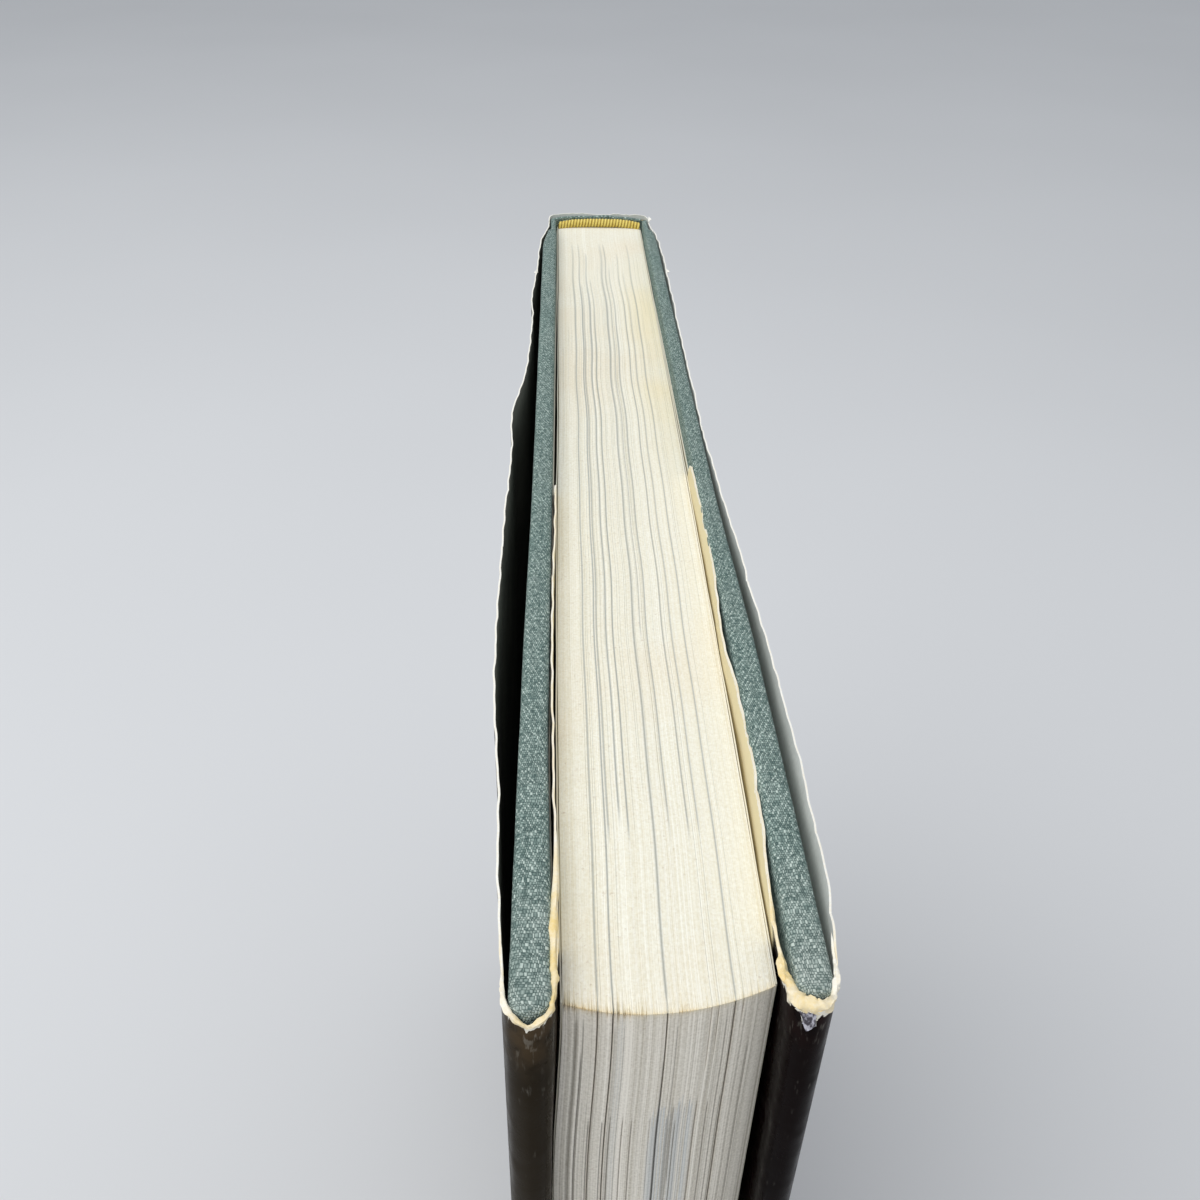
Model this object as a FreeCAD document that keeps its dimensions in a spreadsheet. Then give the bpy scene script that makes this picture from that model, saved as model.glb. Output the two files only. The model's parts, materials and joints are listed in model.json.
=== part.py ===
"""Case-bound book in a paper jacket, standing on its tail.

The block frame has its origin at floor level, in the middle of the text block's spine face.
X runs through the thickness with the front cover at -X, Y runs out through the spine, and Z
runs from tail to head.  Each sub-part is then moved so that the middle of the book's
footprint becomes the origin.
"""
import FreeCAD
import Part
import Sketcher
import os

# Driving dimensions in millimetres; splays in degrees.
SIZES = {
    # text block
    "block_width": 188.5,  # spine face to the corners of the fore-edge
    "block_height": 246.0,
    "block_thickness": 17.2,
    "fore_swell": 1.7,  # middle of the fore-edge beyond its corners
    "fore_skew": 1.4,  # front corner of the fore-edge beyond the back corner
    "endpaper": 0.15,
    # case
    "head_square": 3.0,  # cover beyond the block at head and tail
    "fore_square": 3.5,  # cover beyond the block at the fore-edge
    "cover_gap": 0.05,  # air between flyleaf and pastedown at the joint
    "board_thickness": 2.3,
    "cloth": 0.3,
    "turn_in": 15.0,
    "edge_round": 0.9,  # outer rounding of a covered board
    "joint_width": 9.5,  # spine face of the block to the back edge of a board
    "joint_room": 0.65,  # inner face of a cover out to the turned-in cloth of its joint
    "joint_slope": 0.8,  # step of the cloth from the board down into the joint
    "pastedown_margin": 3.5,  # turn-in left bare at the fore-edge
    "hinge_setback": 5.0,  # spine face of the block to a hinge line
    "hinge_gap": 0.4,  # parting between cover and spine pieces
    # spine
    "lining": 0.3,
    "lining_clearance": 0.15,  # hollow between the lining and the case
    "spine_strip": 0.5,
    "spine_round": 0.6,  # outer rounding of the cloth at the spine's corners
    "band_radius": 0.8,
    "band_tape": 10.0,  # length of a band's tape along the spine
    # jacket
    "jacket": 0.2,
    "jacket_gap": 0.05,
    "jacket_trim": 0.3,  # jacket short of the case at head and at tail
    "jacket_round": 0.5,  # inner rounding at the spine's corners
    "jacket_corner_gap": 0.8,  # jacket off the cloth at the spine's corners
    "jacket_dip": 0.5,  # jacket sunk over a joint
    "front_lift": 3.3,  # bulge of the front panel off its board
    "front_lift_start": 12.0,  # spine face of the block to the start of the bulge
    "front_flap": 83.0,
    "front_splay": 0.35,
    "back_lift": 1.8,
    "back_lift_start": 85.0,
    "back_flap": 86.0,
    "back_splay": 0.4,
    # middle of the footprint in the block frame, measured once the pieces exist
    "centre_x": 0.0,
    "centre_y": 0.0,
}

FRONT = -1
BACK = 1
CLEAR = "1"  # run of a cutting box past the face that it opens

# Distances from the block's middle plane, outwards through one cover.
BLOCK_SIDE = "Sizes.block_thickness / 2"
FLYLEAF_FACE = f"{BLOCK_SIDE} + Sizes.endpaper"
PASTEDOWN_FACE = f"{FLYLEAF_FACE} + Sizes.cover_gap"
TURN_IN_FACE = f"{PASTEDOWN_FACE} + Sizes.endpaper"
BOARD_FACE = f"{TURN_IN_FACE} + Sizes.cloth"
BOARD_BACK = f"{BOARD_FACE} + Sizes.board_thickness"
COVER_BACK = f"{BOARD_BACK} + Sizes.cloth"
JOINT_TURN_IN = f"{TURN_IN_FACE} + Sizes.joint_room"
JOINT_FACE = f"{JOINT_TURN_IN} + Sizes.cloth"
JOINT_BACK = f"{JOINT_FACE} + Sizes.cloth"
JACKET_FACE = f"{COVER_BACK} + Sizes.jacket_gap"
JACKET_OVER_JOINT = f"{JACKET_FACE} - Sizes.jacket_dip"
JACKET_AT_CORNER = f"{JOINT_BACK} + Sizes.jacket_corner_gap"
HINGE_REACH = f"{JACKET_FACE} + Sizes.jacket"
FLAP_FACE = f"{PASTEDOWN_FACE} - Sizes.jacket_gap"

# Distances from the block's spine face towards the fore-edge.
SPINE_EDGE = "Sizes.hinge_setback - Sizes.hinge_gap / 2"
HINGE_EDGE = "Sizes.hinge_setback + Sizes.hinge_gap / 2"
BOARD_START = "Sizes.joint_width"
COVER_START = f"{BOARD_START} - Sizes.cloth"
COVER_END = "Sizes.block_width + Sizes.fore_square"
BOARD_END = f"{COVER_END} - Sizes.cloth"
WINDOW_END = f"{COVER_END} - Sizes.turn_in"
PASTEDOWN_END = f"{COVER_END} - Sizes.pastedown_margin"
FOLD_START = f"{COVER_END} - Sizes.edge_round"

# Distances from the block's spine face outwards through the spine.
STRIP_TURN_IN = "Sizes.lining + Sizes.lining_clearance"
STRIP_FACE = f"{STRIP_TURN_IN} + Sizes.cloth"
STRIP_BACK = f"{STRIP_FACE} + Sizes.spine_strip"
SPINE_BACK = f"{STRIP_BACK} + Sizes.cloth"
SPINE_JACKET = f"{SPINE_BACK} + Sizes.jacket_gap"

# Heights above the floor.
TAIL = "Sizes.head_square"
HEAD = f"{TAIL} + Sizes.block_height"
CASE_TOP = f"{HEAD} + Sizes.head_square"
WINDOW_TOP = f"{CASE_TOP} - Sizes.turn_in"

doc = FreeCAD.newDocument("Book")
sheet = doc.addObject("Spreadsheet::Sheet", "Sizes")
CELLS = {alias: f"A{row}" for row, alias in enumerate(SIZES, start=1)}


def fill_sheet():
    """Write the driving dimensions into the sheet and name their cells."""
    for alias, value in SIZES.items():
        sheet.set(CELLS[alias], str(value))
        sheet.setAlias(CELLS[alias], alias)
    doc.recompute()


def number(expression):
    """Work out a sheet expression."""
    return float(sheet.evalExpression(expression))


def across(side, near, far):
    """Order two distances from the middle plane as low and high X on one side."""
    return (near, far) if side == BACK else (f"-({far})", f"-({near})")


def mirrored(far):
    """Span the middle plane by the same distance on both sides."""
    return f"-({far})", far


def inwards(near, far):
    """Order two distances from the spine face towards the fore-edge as low and high Y."""
    return f"-({far})", f"-({near})"


def place_on_spine(piece):
    """Move a piece from the block frame to the frame of the footprint."""
    piece.setExpression("Placement.Base.x", "-Sizes.centre_x")
    piece.setExpression("Placement.Base.y", "-Sizes.centre_y")


def place_on_cover(piece, side, splay):
    """Swing a piece of a cover about its hinge line by the splay of the resting cover."""
    turn = f"({side} * {splay} * 1 deg)"
    hinge_x = f"({side} * ({HINGE_REACH}))"
    hinge_y = "(-Sizes.hinge_setback)"
    swung_x = f"cos({turn}) * {hinge_x} - sin({turn}) * {hinge_y}"
    swung_y = f"sin({turn}) * {hinge_x} + cos({turn}) * {hinge_y}"
    piece.setExpression("Placement.Base.x", f"{hinge_x} - ({swung_x}) - Sizes.centre_x")
    piece.setExpression("Placement.Base.y", f"{hinge_y} - ({swung_y}) - Sizes.centre_y")
    piece.setExpression("Placement.Rotation.Angle", turn)


def pin_point(sketch, geometry, end, name, point):
    """Hold a sketch point at the two expressions of an outline's corner."""
    for kind, zero_axis, expression in zip(("DistanceX", "DistanceY"), (-2, -1), point):
        value = number(expression)
        if value == 0:
            sketch.addConstraint(Sketcher.Constraint("PointOnObject", geometry, end, zero_axis))
            continue
        held = sketch.addConstraint(Sketcher.Constraint(kind, -1, 1, geometry, end, value))
        sketch.renameConstraint(held, f"{name}_{kind}")
        sketch.setExpression(f"Constraints.{name}_{kind}", expression)


def draw_outline(sketch, outline):
    """Draw a closed outline of corners (x, y); a ("bend", x, y) arcs the edge before it."""
    edges = []
    for point in outline:
        if point[0] == "bend":
            edges[-1]["bend"] = point[1:]
        else:
            edges.append({"corner": point, "bend": None})
    spots = [FreeCAD.Vector(*map(number, edge["corner"])) for edge in edges]
    ends = []
    for place, edge in enumerate(edges):
        start, stop = spots[place], spots[(place + 1) % len(spots)]
        if edge["bend"] is None:
            drawn = sketch.addGeometry(Part.LineSegment(start, stop), False)
        else:
            through = FreeCAD.Vector(*map(number, edge["bend"]))
            drawn = sketch.addGeometry(Part.Arc(start, through, stop), False)
            guide = sketch.addGeometry(Part.Point(through), True)
            pin_point(sketch, guide, 1, f"bend{place}", edge["bend"])
            sketch.addConstraint(Sketcher.Constraint("PointOnObject", guide, 1, drawn))
        first = sketch.getPoint(drawn, 1).distanceToPoint(start) < 1e-6
        ends.append((drawn, 1, 2) if first else (drawn, 2, 1))
    for place, (drawn, first, last) in enumerate(ends):
        following, following_first, _ = ends[(place + 1) % len(ends)]
        joint = Sketcher.Constraint("Coincident", drawn, last, following, following_first)
        sketch.addConstraint(joint)
        pin_point(sketch, drawn, first, f"corner{place}", edges[place]["corner"])


def rectangle(x_span, y_span):
    """List the corners of a rectangle between low and high expressions."""
    (low_x, high_x), (low_y, high_y) = x_span, y_span
    return [(low_x, low_y), (high_x, low_y), (high_x, high_y), (low_x, high_y)]


def add_pad(name, outline, low, high):
    """Make a body whose plan outline is padded from one height to another."""
    body = doc.addObject("PartDesign::Body", name)
    sketch = body.newObject("Sketcher::SketchObject", f"{name}_plan")
    planes = {plane.Role: plane for plane in body.Origin.OriginFeatures}
    sketch.AttachmentSupport = [(planes["XY_Plane"], "")]
    sketch.MapMode = "FlatFace"
    sketch.setExpression("AttachmentOffset.Base.z", low)
    draw_outline(sketch, outline)
    pad = body.newObject("PartDesign::Pad", f"{name}_pad")
    pad.Profile = sketch
    pad.setExpression("Length", f"{high} - ({low})")
    doc.recompute()
    return body


def round_edges(body, wanted, radius):
    """Round those edges of a body that the wanted test picks."""
    base = body.Tip
    names = [
        f"Edge{place}"
        for place, edge in enumerate(base.Shape.Edges, start=1)
        if wanted(edge.BoundBox, base.Shape.BoundBox)
    ]
    fillet = body.newObject("PartDesign::Fillet", f"{body.Name}_round")
    fillet.Base = (base, names)
    fillet.setExpression("Radius", radius)
    doc.recompute()


def is_cover_rim(edge, whole):
    """Pick a cover's edges at the fore-edge and its long edges at head and tail."""
    at_fore_edge = edge.YMax - whole.YMin < 1e-6
    return at_fore_edge or edge.YLength > whole.YLength / 2


def is_spine_corner(edge, whole):
    """Pick the upright edges on the outer face of the spine."""
    return whole.YMax - edge.YMin < 1e-6 and edge.ZLength > whole.ZLength / 2


def add_box(name, x_span, y_span, z_span):
    """Make a box between pairs of low and high expressions."""
    box = doc.addObject("Part::Box", name)
    spans = zip(("Length", "Width", "Height"), "xyz", (x_span, y_span, z_span))
    for extent, axis, (low, high) in spans:
        box.setExpression(extent, f"{high} - ({low})")
        box.setExpression(f"Placement.Base.{axis}", low)
    return box


def join(name, shapes):
    """Fuse several objects into one."""
    joined = doc.addObject("Part::MultiFuse", name)
    joined.Shapes = shapes
    return joined


def cut(name, base, tool):
    """Cut one object out of another."""
    left = doc.addObject("Part::Cut", name)
    left.Base = base
    left.Tool = tool
    return left


def build_text_block():
    """Build the glued leaves, with the fore-edge swelling and slightly askew."""
    outline = [
        (f"-({BLOCK_SIDE})", "0"),
        (BLOCK_SIDE, "0"),
        (BLOCK_SIDE, "-(Sizes.block_width - Sizes.fore_skew / 2)"),
        (f"-({BLOCK_SIDE})", "-(Sizes.block_width + Sizes.fore_skew / 2)"),
    ]
    outline.insert(3, ("bend", "0", "-(Sizes.block_width + Sizes.fore_swell)"))
    return add_pad("text_block", outline, TAIL, HEAD)


def build_band(name, bead_height, tape_span):
    """Build an end band: a bead over the leaves' ends, on a tape down the spine face."""
    tape = add_box(f"{name}_tape", mirrored(BLOCK_SIDE), ("0", "Sizes.lining"), tape_span)
    bead = doc.addObject("Part::Cylinder", f"{name}_bead")
    bead.Placement.Rotation = FreeCAD.Rotation(FreeCAD.Vector(0, 1, 0), 90)
    bead.setExpression("Radius", "Sizes.band_radius")
    bead.setExpression("Height", "Sizes.block_thickness")
    bead.setExpression("Placement.Base.x", f"-({BLOCK_SIDE})")
    bead.setExpression("Placement.Base.y", "Sizes.lining - Sizes.band_radius")
    bead.setExpression("Placement.Base.z", bead_height)
    return join(name, [tape, bead])


def build_spine_lining():
    """Build the mull and paper glued over the spine between the two bands."""
    outline = rectangle(mirrored(BLOCK_SIDE), ("0", "Sizes.lining"))
    low, high = f"{TAIL} + Sizes.band_tape", f"{HEAD} - Sizes.band_tape"
    return add_pad("spine_lining", outline, low, high)


def build_flyleaf(name, side):
    """Build the free half of an endpaper, flat on the side of the block."""
    length = f"Sizes.block_width - {side} * Sizes.fore_skew / 2"
    outline = rectangle(across(side, BLOCK_SIDE, FLYLEAF_FACE), inwards("0", length))
    return add_pad(name, outline, TAIL, HEAD)


def build_spine_strip():
    """Build the card that stiffens the cloth spine."""
    outline = rectangle(mirrored(JOINT_FACE), (STRIP_FACE, STRIP_BACK))
    return add_pad("spine_strip", outline, "Sizes.cloth", f"{CASE_TOP} - Sizes.cloth")


def build_spine_cloth():
    """Build the cloth round the spine strip, turned in at head and tail."""
    outline = rectangle(mirrored(JOINT_BACK), (f"-({SPINE_EDGE})", SPINE_BACK))
    envelope = add_pad("spine_envelope", outline, "0", CASE_TOP)
    round_edges(envelope, is_spine_corner, "Sizes.spine_round")
    open_edge = f"-({SPINE_EDGE} + {CLEAR})"
    window = add_box(
        "spine_window",
        mirrored(JOINT_FACE),
        (open_edge, STRIP_BACK),
        ("Sizes.turn_in", WINDOW_TOP),
    )
    strip_room = add_box(
        "strip_room",
        mirrored(JOINT_FACE),
        (STRIP_FACE, STRIP_BACK),
        ("Sizes.cloth", f"{CASE_TOP} - Sizes.cloth"),
    )
    block_room = add_box(
        "spine_block_room",
        mirrored(JOINT_TURN_IN),
        (open_edge, STRIP_TURN_IN),
        (f"-{CLEAR}", f"{CASE_TOP} + {CLEAR}"),
    )
    rooms = join("spine_rooms", [window, strip_room, block_room])
    return cut("spine_cloth", envelope, rooms)


def build_board(name, side):
    """Build a cover's board, its exposed edges eased."""
    faces = across(side, BOARD_FACE, BOARD_BACK)
    outline = rectangle(faces, inwards(BOARD_START, BOARD_END))
    board = add_pad(name, outline, "Sizes.cloth", f"{CASE_TOP} - Sizes.cloth")
    round_edges(board, is_cover_rim, "Sizes.edge_round - Sizes.cloth")
    return board


def build_cover_cloth(name, side):
    """Build the cloth over a board and out over its joint, turned in on three sides."""
    outline = [
        (f"{side} * ({TURN_IN_FACE})", f"-({COVER_END})"),
        (f"{side} * ({COVER_BACK})", f"-({COVER_END})"),
        (f"{side} * ({COVER_BACK})", f"-({COVER_START})"),
        (f"{side} * ({JOINT_BACK})", f"-({COVER_START} - Sizes.joint_slope)"),
        (f"{side} * ({JOINT_BACK})", f"-({HINGE_EDGE})"),
        (f"{side} * ({JOINT_TURN_IN})", f"-({HINGE_EDGE})"),
        (f"{side} * ({JOINT_TURN_IN})", f"-({COVER_START})"),
        (f"{side} * ({TURN_IN_FACE})", f"-({COVER_START})"),
    ]
    envelope = add_pad(f"{name}_envelope", outline, "0", CASE_TOP)
    round_edges(envelope, is_cover_rim, "Sizes.edge_round")
    board_room = build_board(f"{name}_board_room", side)
    heights = ("Sizes.turn_in", WINDOW_TOP)
    inside = f"{TURN_IN_FACE} - {CLEAR}"
    board_window = add_box(
        f"{name}_board_window",
        across(side, inside, BOARD_FACE),
        inwards(COVER_START, WINDOW_END),
        heights,
    )
    joint_window = add_box(
        f"{name}_joint_window",
        across(side, inside, JOINT_FACE),
        inwards(f"{HINGE_EDGE} - {CLEAR}", BOARD_START),
        heights,
    )
    rooms = join(f"{name}_rooms", [board_room, board_window, joint_window])
    return cut(name, envelope, rooms)


def build_pastedown(name, side):
    """Build the glued half of an endpaper, lying over the turn-ins and down on the board."""
    sheet_paper = add_box(
        f"{name}_sheet",
        across(side, PASTEDOWN_FACE, TURN_IN_FACE),
        inwards(HINGE_EDGE, PASTEDOWN_END),
        (TAIL, HEAD),
    )
    sunk = add_box(
        f"{name}_sunk",
        across(side, PASTEDOWN_FACE, BOARD_FACE),
        inwards(BOARD_START, WINDOW_END),
        ("Sizes.turn_in", WINDOW_TOP),
    )
    hollow = add_box(
        f"{name}_hollow",
        across(side, f"{PASTEDOWN_FACE} - {CLEAR}", f"{BOARD_FACE} - Sizes.endpaper"),
        inwards(f"{BOARD_START} + Sizes.endpaper", f"{WINDOW_END} - Sizes.endpaper"),
        ("Sizes.turn_in + Sizes.endpaper", f"{WINDOW_TOP} - Sizes.endpaper"),
    )
    return cut(name, join(f"{name}_solid", [sheet_paper, sunk]), hollow)


def jacket_corner(side, outset):
    """List the bend round one corner of the spine, outset from the jacket's inner face."""
    flat_x = f"{JACKET_AT_CORNER} - Sizes.jacket_round"
    flat_y = f"{SPINE_JACKET} - Sizes.jacket_round"
    radius = f"(Sizes.jacket_round + {outset})"
    middle = f"{radius} * cos(45 deg)"
    return [
        (f"{side} * ({flat_x} + {radius})", flat_y),
        ("bend", f"{side} * ({flat_x} + {middle})", f"{flat_y} + {middle}"),
        (f"{side} * ({flat_x})", f"{flat_y} + {radius}"),
    ]


def build_jacket_spine():
    """Build the jacket across the spine, from one hinge line to the other."""

    def layer(outset):
        front_corner, bend, front_flat = jacket_corner(FRONT, outset)
        back_corner, back_bend, back_flat = jacket_corner(BACK, outset)
        reach = f"({JACKET_OVER_JOINT} + {outset})"
        return [
            (f"-{reach}", f"-({SPINE_EDGE})"),
            front_corner,
            bend,
            front_flat,
            back_flat,
            back_bend,
            back_corner,
            (reach, f"-({SPINE_EDGE})"),
        ]

    outer = layer("Sizes.jacket")
    inner = layer("0")
    return add_pad(
        "jacket_spine",
        outer + inner[::-1],
        "Sizes.jacket_trim",
        f"{CASE_TOP} - Sizes.jacket_trim",
    )


def build_jacket_cover(name, side, lift, lift_start, flap):
    """Build the jacket over one cover: bulged panel, fold round the fore-edge, and flap."""

    def layer(outset):
        panel = f"({JACKET_FACE} + {outset})"
        inside = f"({FLAP_FACE} - {outset})"
        fold_middle = f"({JACKET_FACE} + ({FLAP_FACE})) / 2"
        fold_reach = f"({panel} - {inside}) / 2"
        return [
            (f"{side} * ({JACKET_OVER_JOINT} + {outset})", f"-({HINGE_EDGE})"),
            (f"{side} * {panel}", f"-({COVER_START})"),
            (f"{side} * {panel}", f"-{lift_start}"),
            ("bend", f"{side} * ({panel} + {lift})", f"-({lift_start} + {FOLD_START}) / 2"),
            (f"{side} * {panel}", f"-({FOLD_START})"),
            ("bend", f"{side} * {fold_middle}", f"-({FOLD_START} + {fold_reach})"),
            (f"{side} * {inside}", f"-({FOLD_START})"),
            (f"{side} * {inside}", f"-({FOLD_START} - {flap})"),
        ]

    outer = layer("Sizes.jacket")
    inner = layer("0")
    return add_pad(
        name,
        outer + inner[::-1],
        "Sizes.jacket_trim",
        f"{CASE_TOP} - Sizes.jacket_trim",
    )


def build_book():
    """Build every sub-part and put each in its place."""
    band_tapes = {
        "headband": (f"{HEAD} - Sizes.band_tape", f"{HEAD} + Sizes.band_radius"),
        "tailband": (f"{TAIL} - Sizes.band_radius", f"{TAIL} + Sizes.band_tape"),
    }
    spine_pieces = [
        build_text_block(),
        build_band("headband", f"{HEAD} + Sizes.band_radius", band_tapes["headband"]),
        build_band("tailband", f"{TAIL} - Sizes.band_radius", band_tapes["tailband"]),
        build_spine_lining(),
        build_flyleaf("front_flyleaf", FRONT),
        build_flyleaf("back_flyleaf", BACK),
        build_spine_strip(),
        build_spine_cloth(),
        build_jacket_spine(),
    ]
    for piece in spine_pieces:
        place_on_spine(piece)
    pieces = list(spine_pieces)
    for word, side in (("front", FRONT), ("back", BACK)):
        cover_pieces = [
            build_board(f"{word}_board", side),
            build_cover_cloth(f"{word}_cloth", side),
            build_pastedown(f"{word}_pastedown", side),
            build_jacket_cover(
                f"jacket_{word}",
                side,
                f"Sizes.{word}_lift",
                f"Sizes.{word}_lift_start",
                f"Sizes.{word}_flap",
            ),
        ]
        for piece in cover_pieces:
            place_on_cover(piece, side, f"Sizes.{word}_splay")
        pieces += cover_pieces
    return pieces


def centre_on_footprint(pieces):
    """Measure the book's footprint and put its middle over the origin."""
    doc.recompute()
    footprint = FreeCAD.BoundBox()
    for piece in pieces:
        footprint.add(piece.Shape.BoundBox)
    sheet.set(CELLS["centre_x"], str(footprint.Center.x))
    sheet.set(CELLS["centre_y"], str(footprint.Center.y))
    doc.recompute()


def check_document(pieces):
    """Stop if any object failed or any sub-part is not one sound solid."""
    for item in doc.Objects:
        if "Invalid" in item.State or "Error" in item.State:
            raise RuntimeError(f"{item.Label} failed: {item.State}")
    for piece in pieces:
        shape = piece.Shape
        if shape.isNull() or not shape.isValid() or len(shape.Solids) != 1:
            raise RuntimeError(f"{piece.Label} is not one sound solid")


def export_pieces(pieces):
    """Write each sub-part to its own STEP file."""
    os.makedirs("parts", exist_ok=True)
    for piece in pieces:
        piece.Shape.exportStep(f"parts/{piece.Label}.step")
        box = piece.Shape.BoundBox
        print(
            f"{piece.Label}: {piece.Shape.Volume:.1f} mm3, "
            f"X {box.XMin:.2f} to {box.XMax:.2f}, Y {box.YMin:.2f} to {box.YMax:.2f}, "
            f"Z {box.ZMin:.2f} to {box.ZMax:.2f}"
        )


fill_sheet()
book = build_book()
centre_on_footprint(book)
check_document(book)
export_pieces(book)
for word, side in (("front", FRONT), ("back", BACK)):
    hinge_x = number(f"{side} * ({HINGE_REACH}) - Sizes.centre_x")
    hinge_y = number("-Sizes.hinge_setback - Sizes.centre_y")
    print(f"{word} hinge line: X {hinge_x:.4f}, Y {hinge_y:.4f}")
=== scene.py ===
"""Case-bound book standing on its tail in a worn paper jacket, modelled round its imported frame.

Lengths are in metres.  A place on a cover is given by how far it lies out from the middle plane
of the text block, how far it lies along from the spine face towards the fore-edge, and how far
it is up from the floor.
"""
import json
import logging
import math
from contextlib import contextmanager
from dataclasses import dataclass, field
from enum import Enum, IntEnum
from typing import Callable, Iterator, Sequence

import bmesh
import bpy
import numpy as np
from mathutils import Matrix, Vector


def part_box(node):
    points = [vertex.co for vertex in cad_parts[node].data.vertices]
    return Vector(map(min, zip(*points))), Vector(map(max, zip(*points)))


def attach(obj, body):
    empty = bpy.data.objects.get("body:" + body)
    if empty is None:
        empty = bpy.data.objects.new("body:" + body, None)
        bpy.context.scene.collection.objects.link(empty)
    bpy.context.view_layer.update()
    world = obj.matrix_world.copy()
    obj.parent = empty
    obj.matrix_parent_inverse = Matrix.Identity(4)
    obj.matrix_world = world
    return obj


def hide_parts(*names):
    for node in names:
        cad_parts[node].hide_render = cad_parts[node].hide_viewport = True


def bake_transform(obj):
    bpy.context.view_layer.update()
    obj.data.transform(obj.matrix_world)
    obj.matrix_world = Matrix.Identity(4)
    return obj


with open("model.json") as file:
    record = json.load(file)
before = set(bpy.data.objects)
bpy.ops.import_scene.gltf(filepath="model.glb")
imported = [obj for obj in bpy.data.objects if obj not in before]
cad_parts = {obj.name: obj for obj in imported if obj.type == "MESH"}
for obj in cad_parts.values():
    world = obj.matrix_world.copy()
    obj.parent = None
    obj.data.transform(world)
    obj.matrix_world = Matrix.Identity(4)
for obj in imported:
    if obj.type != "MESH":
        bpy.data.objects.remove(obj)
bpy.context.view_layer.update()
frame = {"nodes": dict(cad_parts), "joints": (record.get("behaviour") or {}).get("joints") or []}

MM = 0.001
BULGE_DEPTH = 30 * MM
UNROLLED = "Unrolled"
log = logging.getLogger("book")

Array = np.ndarray
Colour = tuple[float, float, float, float]
Edge = bmesh.types.BMEdge
Knots = Sequence[tuple[float, float]]
Material = bpy.types.Material
Piece = bpy.types.Object
Socket = bpy.types.NodeSocket


class Side(Enum):
    """The two covers, by the way each faces along X."""

    FRONT = -1
    BACK = 1

    @property
    def word(self) -> str:
        """Name of the side as pieces carry it."""
        return self.name.lower()


# ---------- places and lines


@dataclass(frozen=True)
class Places:
    """Main places of the book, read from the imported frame."""

    middle: float
    spine: float
    tail: float
    head: float
    half: float
    floor: float
    top: float

    @classmethod
    def from_frame(cls) -> "Places":
        """Reads the places from the boxes of the text block and the spine cloth.

        Returns:
            The places.
        """
        low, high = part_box("text_block")
        case_low, case_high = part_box("spine_cloth")
        return cls(
            middle=(low.x + high.x) / 2,
            spine=high.y,
            tail=low.z,
            head=high.z,
            half=(high.x - low.x) / 2,
            floor=case_low.z,
            top=case_high.z,
        )

    def from_spine(self, line: Array, up: Array) -> Array:
        """Places points given as (across, outward from the spine face) rows and heights."""
        return np.column_stack((self.middle + line[:, 0], self.spine + line[:, 1], up))


@dataclass(frozen=True)
class CoverPlane:
    """The slightly opened plane of one cover, turned about its hinge."""

    side: Side
    splay: float
    places: Places

    @property
    def body(self) -> str:
        """Body that the cover moves with."""
        return f"{self.side.word}_cover"

    @property
    def hinge(self) -> Vector:
        """A point of the cover's hinge line."""
        name = f"{self.side.word}_cover_hinge"
        return next(Vector(j["pos_m"]) for j in frame["joints"] if j["name"] == name)

    def to_row(self, points: Array) -> Array:
        """Moves points from the flat cover to their place on the book.

        Args:
            points: Rows of (side * out, -along, up).

        Returns:
            Rows of (x, y, z) in the row frame.
        """
        x = points[:, 0] + self.places.middle
        y = points[:, 1] + self.places.spine
        hinge = self.hinge
        joint_end = 9.5 * MM
        ease = smooth_step(-points[:, 1] / joint_end)
        turn = self.side.value * math.radians(self.splay) * ease
        dx, dy = x - hinge.x, y - hinge.y
        cos, sin = np.cos(turn), np.sin(turn)
        return np.column_stack((hinge.x + dx * cos - dy * sin, hinge.y + dx * sin + dy * cos, points[:, 2]))

    def from_line(self, line: Array, up: Array) -> Array:
        """Places points given as (out, along) rows and heights."""
        return self.to_row(np.column_stack((self.side.value * line[:, 0], -line[:, 1], up)))

    def along_y(self, along: float) -> tuple[float, float, float]:
        """A point of the row frame at a distance along from the spine face."""
        return (self.places.middle, self.places.spine - along, self.places.floor)


def smooth_step(value: Array) -> Array:
    """Eases a value from 0 to 1, flat outside that span."""
    held = np.clip(value, 0.0, 1.0)
    return held * held * (3.0 - 2.0 * held)


def along_knots(knots: Knots, place: Array) -> Array:
    """Runs straight from knot to knot, held at both ends."""
    return np.interp(place, *np.transpose(knots))


def run_along(line: Array) -> Array:
    """Distance run along a line at each of its points."""
    return np.concatenate(([0.0], np.cumsum(np.hypot(*np.diff(line, axis=0).T))))


def near_head(below: Array) -> Array:
    """Share of a bulge that remains at a distance below the upper edge."""
    return 1 - smooth_step(below / BULGE_DEPTH)


@dataclass(frozen=True)
class Drift:
    """Smooth wander of an edge or a sheet, the same on every run."""

    seed: int
    size: float
    reach: float
    waves: int = 6

    def at(self, place: Array) -> Array:
        """Wander at each place.

        Args:
            place: Distances along the edge.

        Returns:
            Offsets, mostly within the drift's size.
        """
        draw = np.random.default_rng(self.seed)
        total = np.zeros_like(place, dtype=float)
        for step in range(self.waves):
            length = self.reach * 1.7**step
            weight = draw.uniform(0.4, 1.0)
            total += weight * np.sin(2 * math.pi * place / length + draw.uniform(0, 2 * math.pi))
        return self.size * total / math.sqrt(self.waves)


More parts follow.
